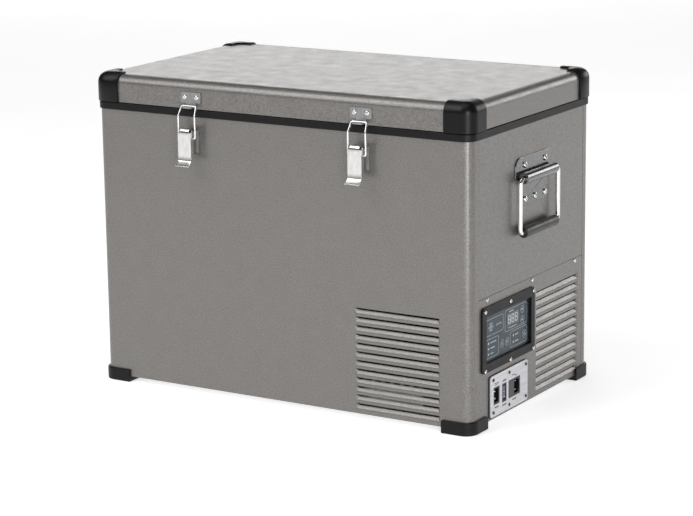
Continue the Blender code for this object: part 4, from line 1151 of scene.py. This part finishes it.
lid_pan = lid_form("lid_pan", 0, lid_low.z)
remove_faces(lid_pan, lambda face: face.normal.z < -0.9)
for y in (lid_low.y + LID_EDGE, lid_high.y - LID_EDGE - SEAM):
    for place in (y, y + SEAM):
        score(lid_pan, 1, place)
    pick(lid_pan, "FACE", lambda face: face.normal.z > 0.999 and y < middle(face).y < y + SEAM)
    pull(0, 0, -SEAM_DEPTH)
    close()
thicken(lid_pan)
fit(smooth(lid_pan, 35), powder_coat, "painted_steel", "lid_skin", body="lid")

cap_plastic = finish(
    "cap_plastic", grey(0.002), grey(0.006), 900, (0.28, 0.4), 0.2, Specular_IOR_Level=0.2
)
cap_low, cap_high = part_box("lid_cap_front_right")
CAP_WALL, CAP_GAP, LAP, NOTCH_RADIUS, NOTCH_LOW = 0.003, 0.0003, 0.024, 0.014, 0.465
cap = lid_form("corner_cap_front_right", CAP_WALL, cap_low.z)
region_low = (cap_low.x, cap_low.y - 0.01, cap_low.z - 0.01)
region_high = (cap_high.x + 0.01, cap_high.y, cap_high.z + 0.01)
carve(cap, block("region", region_low, region_high), "INTERSECT")
notch_low = (cap_low.x - 0.05, cap_low.y + LAP, NOTCH_LOW)
notch_high = (cap_high.x - LAP, cap_high.y + 0.05, cap_high.z + 0.01)
carve(cap, slab("notch", notch_low, notch_high, 2, NOTCH_RADIUS, 10))
carve(cap, lid_form("skin", CAP_GAP, cap_low.z - 0.01))
ease_edges(cap, 0.0007, 2, 50)
smooth(cap, 35)
lid_shift = Matrix.Translation((0, lid_low.y + lid_high.y, 0))
MIRROR_LID = lid_shift @ Matrix.Scale(-1, 4, (0, 1, 0))
corners = {
    "front_right": Matrix(),
    "front_left": MIRROR_X,
    "back_right": MIRROR_LID,
    "back_left": MIRROR_LID @ MIRROR_X,
}
for name, place in corners.items():
    one = copied(cap, "corner_cap_" + name, place)
    fit(one, cap_plastic, "black_plastic", "lid_cap_" + name, body="lid")
bpy.data.objects.remove(cap)

white_plastic = finish("lid_liner_plastic", grey(0.62), grey(0.74), 500, (0.34, 0.46), 0.12)
liner = refined("lid_liner", "lid_liner_moulding", 0.0012, 3)
fit(liner, white_plastic, "white_plastic", "lid_liner", body="lid")
seal = refined("lid_gasket", "lid_seal", 0.0009, 3)
fit(seal, rubber, "gasket_rubber", "lid_gasket", body="lid")

# ------ lid hinges
# Two plated butt hinges at the back. The fixed leaf is screwed to the case, and the leaf with the
# middle knuckle to the lid.

HINGE_X, LEAF_FACE = 0.19, case_high.y + 0.0043
SCREW_ROWS = {"body": (0.391, 0.409), "lid": (0.455,)}
for side, centre in (("left", -HINGE_X), ("right", HINGE_X)):
    for part, body in (("body", "case"), ("lid", "lid")):
        node = f"hinge_leaf_{part}_{side}"
        leaf = refined(node, f"hinge_{part}_{side}", STEEL_EDGE)
        fit(leaf, galvanised, "galvanised_steel", node, body=body)
        places = [(centre + x, LEAF_FACE - SUNK, z) for z in SCREW_ROWS[part] for x in (-0.017, 0.017)]
        name = f"hinge_{part}_screws_{side}"
        screws(name, HINGE_SCREW, places, TO_BACK, slot="galvanised_steel", body=body)

# ------ studio
# A wide pale floor, and five soft lamps: one overhead, one high on the left, one low on the
# right, one behind on the right and a broad one far behind. The camera is low, right of the front.

FLOOR_RADIUS, FLOOR_Z = 30, -0.0005
floor_finish = finish(
    "studio_floor", grey(0.8), grey(0.84), 3, (0.8, 0.9), 0.0,
    Emission_Color=(1.0, 1.0, 1.0, 1), Emission_Strength=0.58,
)
bpy.ops.mesh.primitive_circle_add(
    vertices=64, radius=FLOOR_RADIUS, fill_type="NGON", location=(0, 0, FLOOR_Z)
)
floor = settled("studio_floor")
floor.data.materials.append(floor_finish)

world = bpy.data.worlds.new("studio")
world.use_nodes = True
sky = world.node_tree.nodes["Background"].inputs
sky["Color"].default_value, sky["Strength"].default_value = (1.0, 1.0, 1.0, 1), 0.1
bpy.context.scene.world = world
bpy.context.scene.view_settings.view_transform = "Standard"


def lamp(name, place, aim, width, height, watts):
    """A soft rectangular lamp that faces a point."""
    light = bpy.data.lights.new(name, "AREA")
    light.shape, light.size, light.size_y, light.energy = "RECTANGLE", width, height, watts
    made = bpy.data.objects.new(name, light)
    bpy.context.scene.collection.objects.link(made)
    made.location = place
    made.rotation_euler = (Vector(place) - Vector(aim)).to_track_quat("Z", "Y").to_euler()


lamp("overhead", (0.0, -0.8, 3.2), (0, 0, 0.4), 2.6, 2.6, 28)
lamp("left_high", (-1.35, -2.0, 2.5), (0, 0, 0.2), 2.2, 2.2, 54)
lamp("right_back", (1.45, 2.7, 1.1), (0.3, 0, 0.2), 1.5, 1.0, 20)
lamp("right_low", (2.5, -2.3, 0.7), (0.3, -0.1, 0.2), 0.9, 1.3, 52)
lamp("back", (-3.9, 6.3, 2.2), (0, 0, 0.45), 6.5, 2.4, 112)

CAMERA_PLACE, FOCAL_LENGTH, SENSOR = (1.90226, -3.09923, 1.03258), 126.97, 36
azimuth, elevation, roll = math.radians(31.444), math.radians(13.07), math.radians(-0.714)
out = math.cos(elevation)
back = Vector((math.sin(azimuth) * out, -math.cos(azimuth) * out, math.sin(elevation)))
right = Vector((math.cos(azimuth), math.sin(azimuth), 0))
up = back.cross(right)
turned_right = right * math.cos(roll) + up * math.sin(roll)
turned_up = up * math.cos(roll) - right * math.sin(roll)
lens = bpy.data.cameras.new("camera")
lens.lens, lens.sensor_width = FOCAL_LENGTH, SENSOR
camera = bpy.data.objects.new("camera", lens)
bpy.context.scene.collection.objects.link(camera)
turned = Matrix((turned_right, turned_up, back)).transposed().to_4x4()
camera.matrix_world = Matrix.Translation(CAMERA_PLACE) @ turned
bpy.context.scene.camera = camera
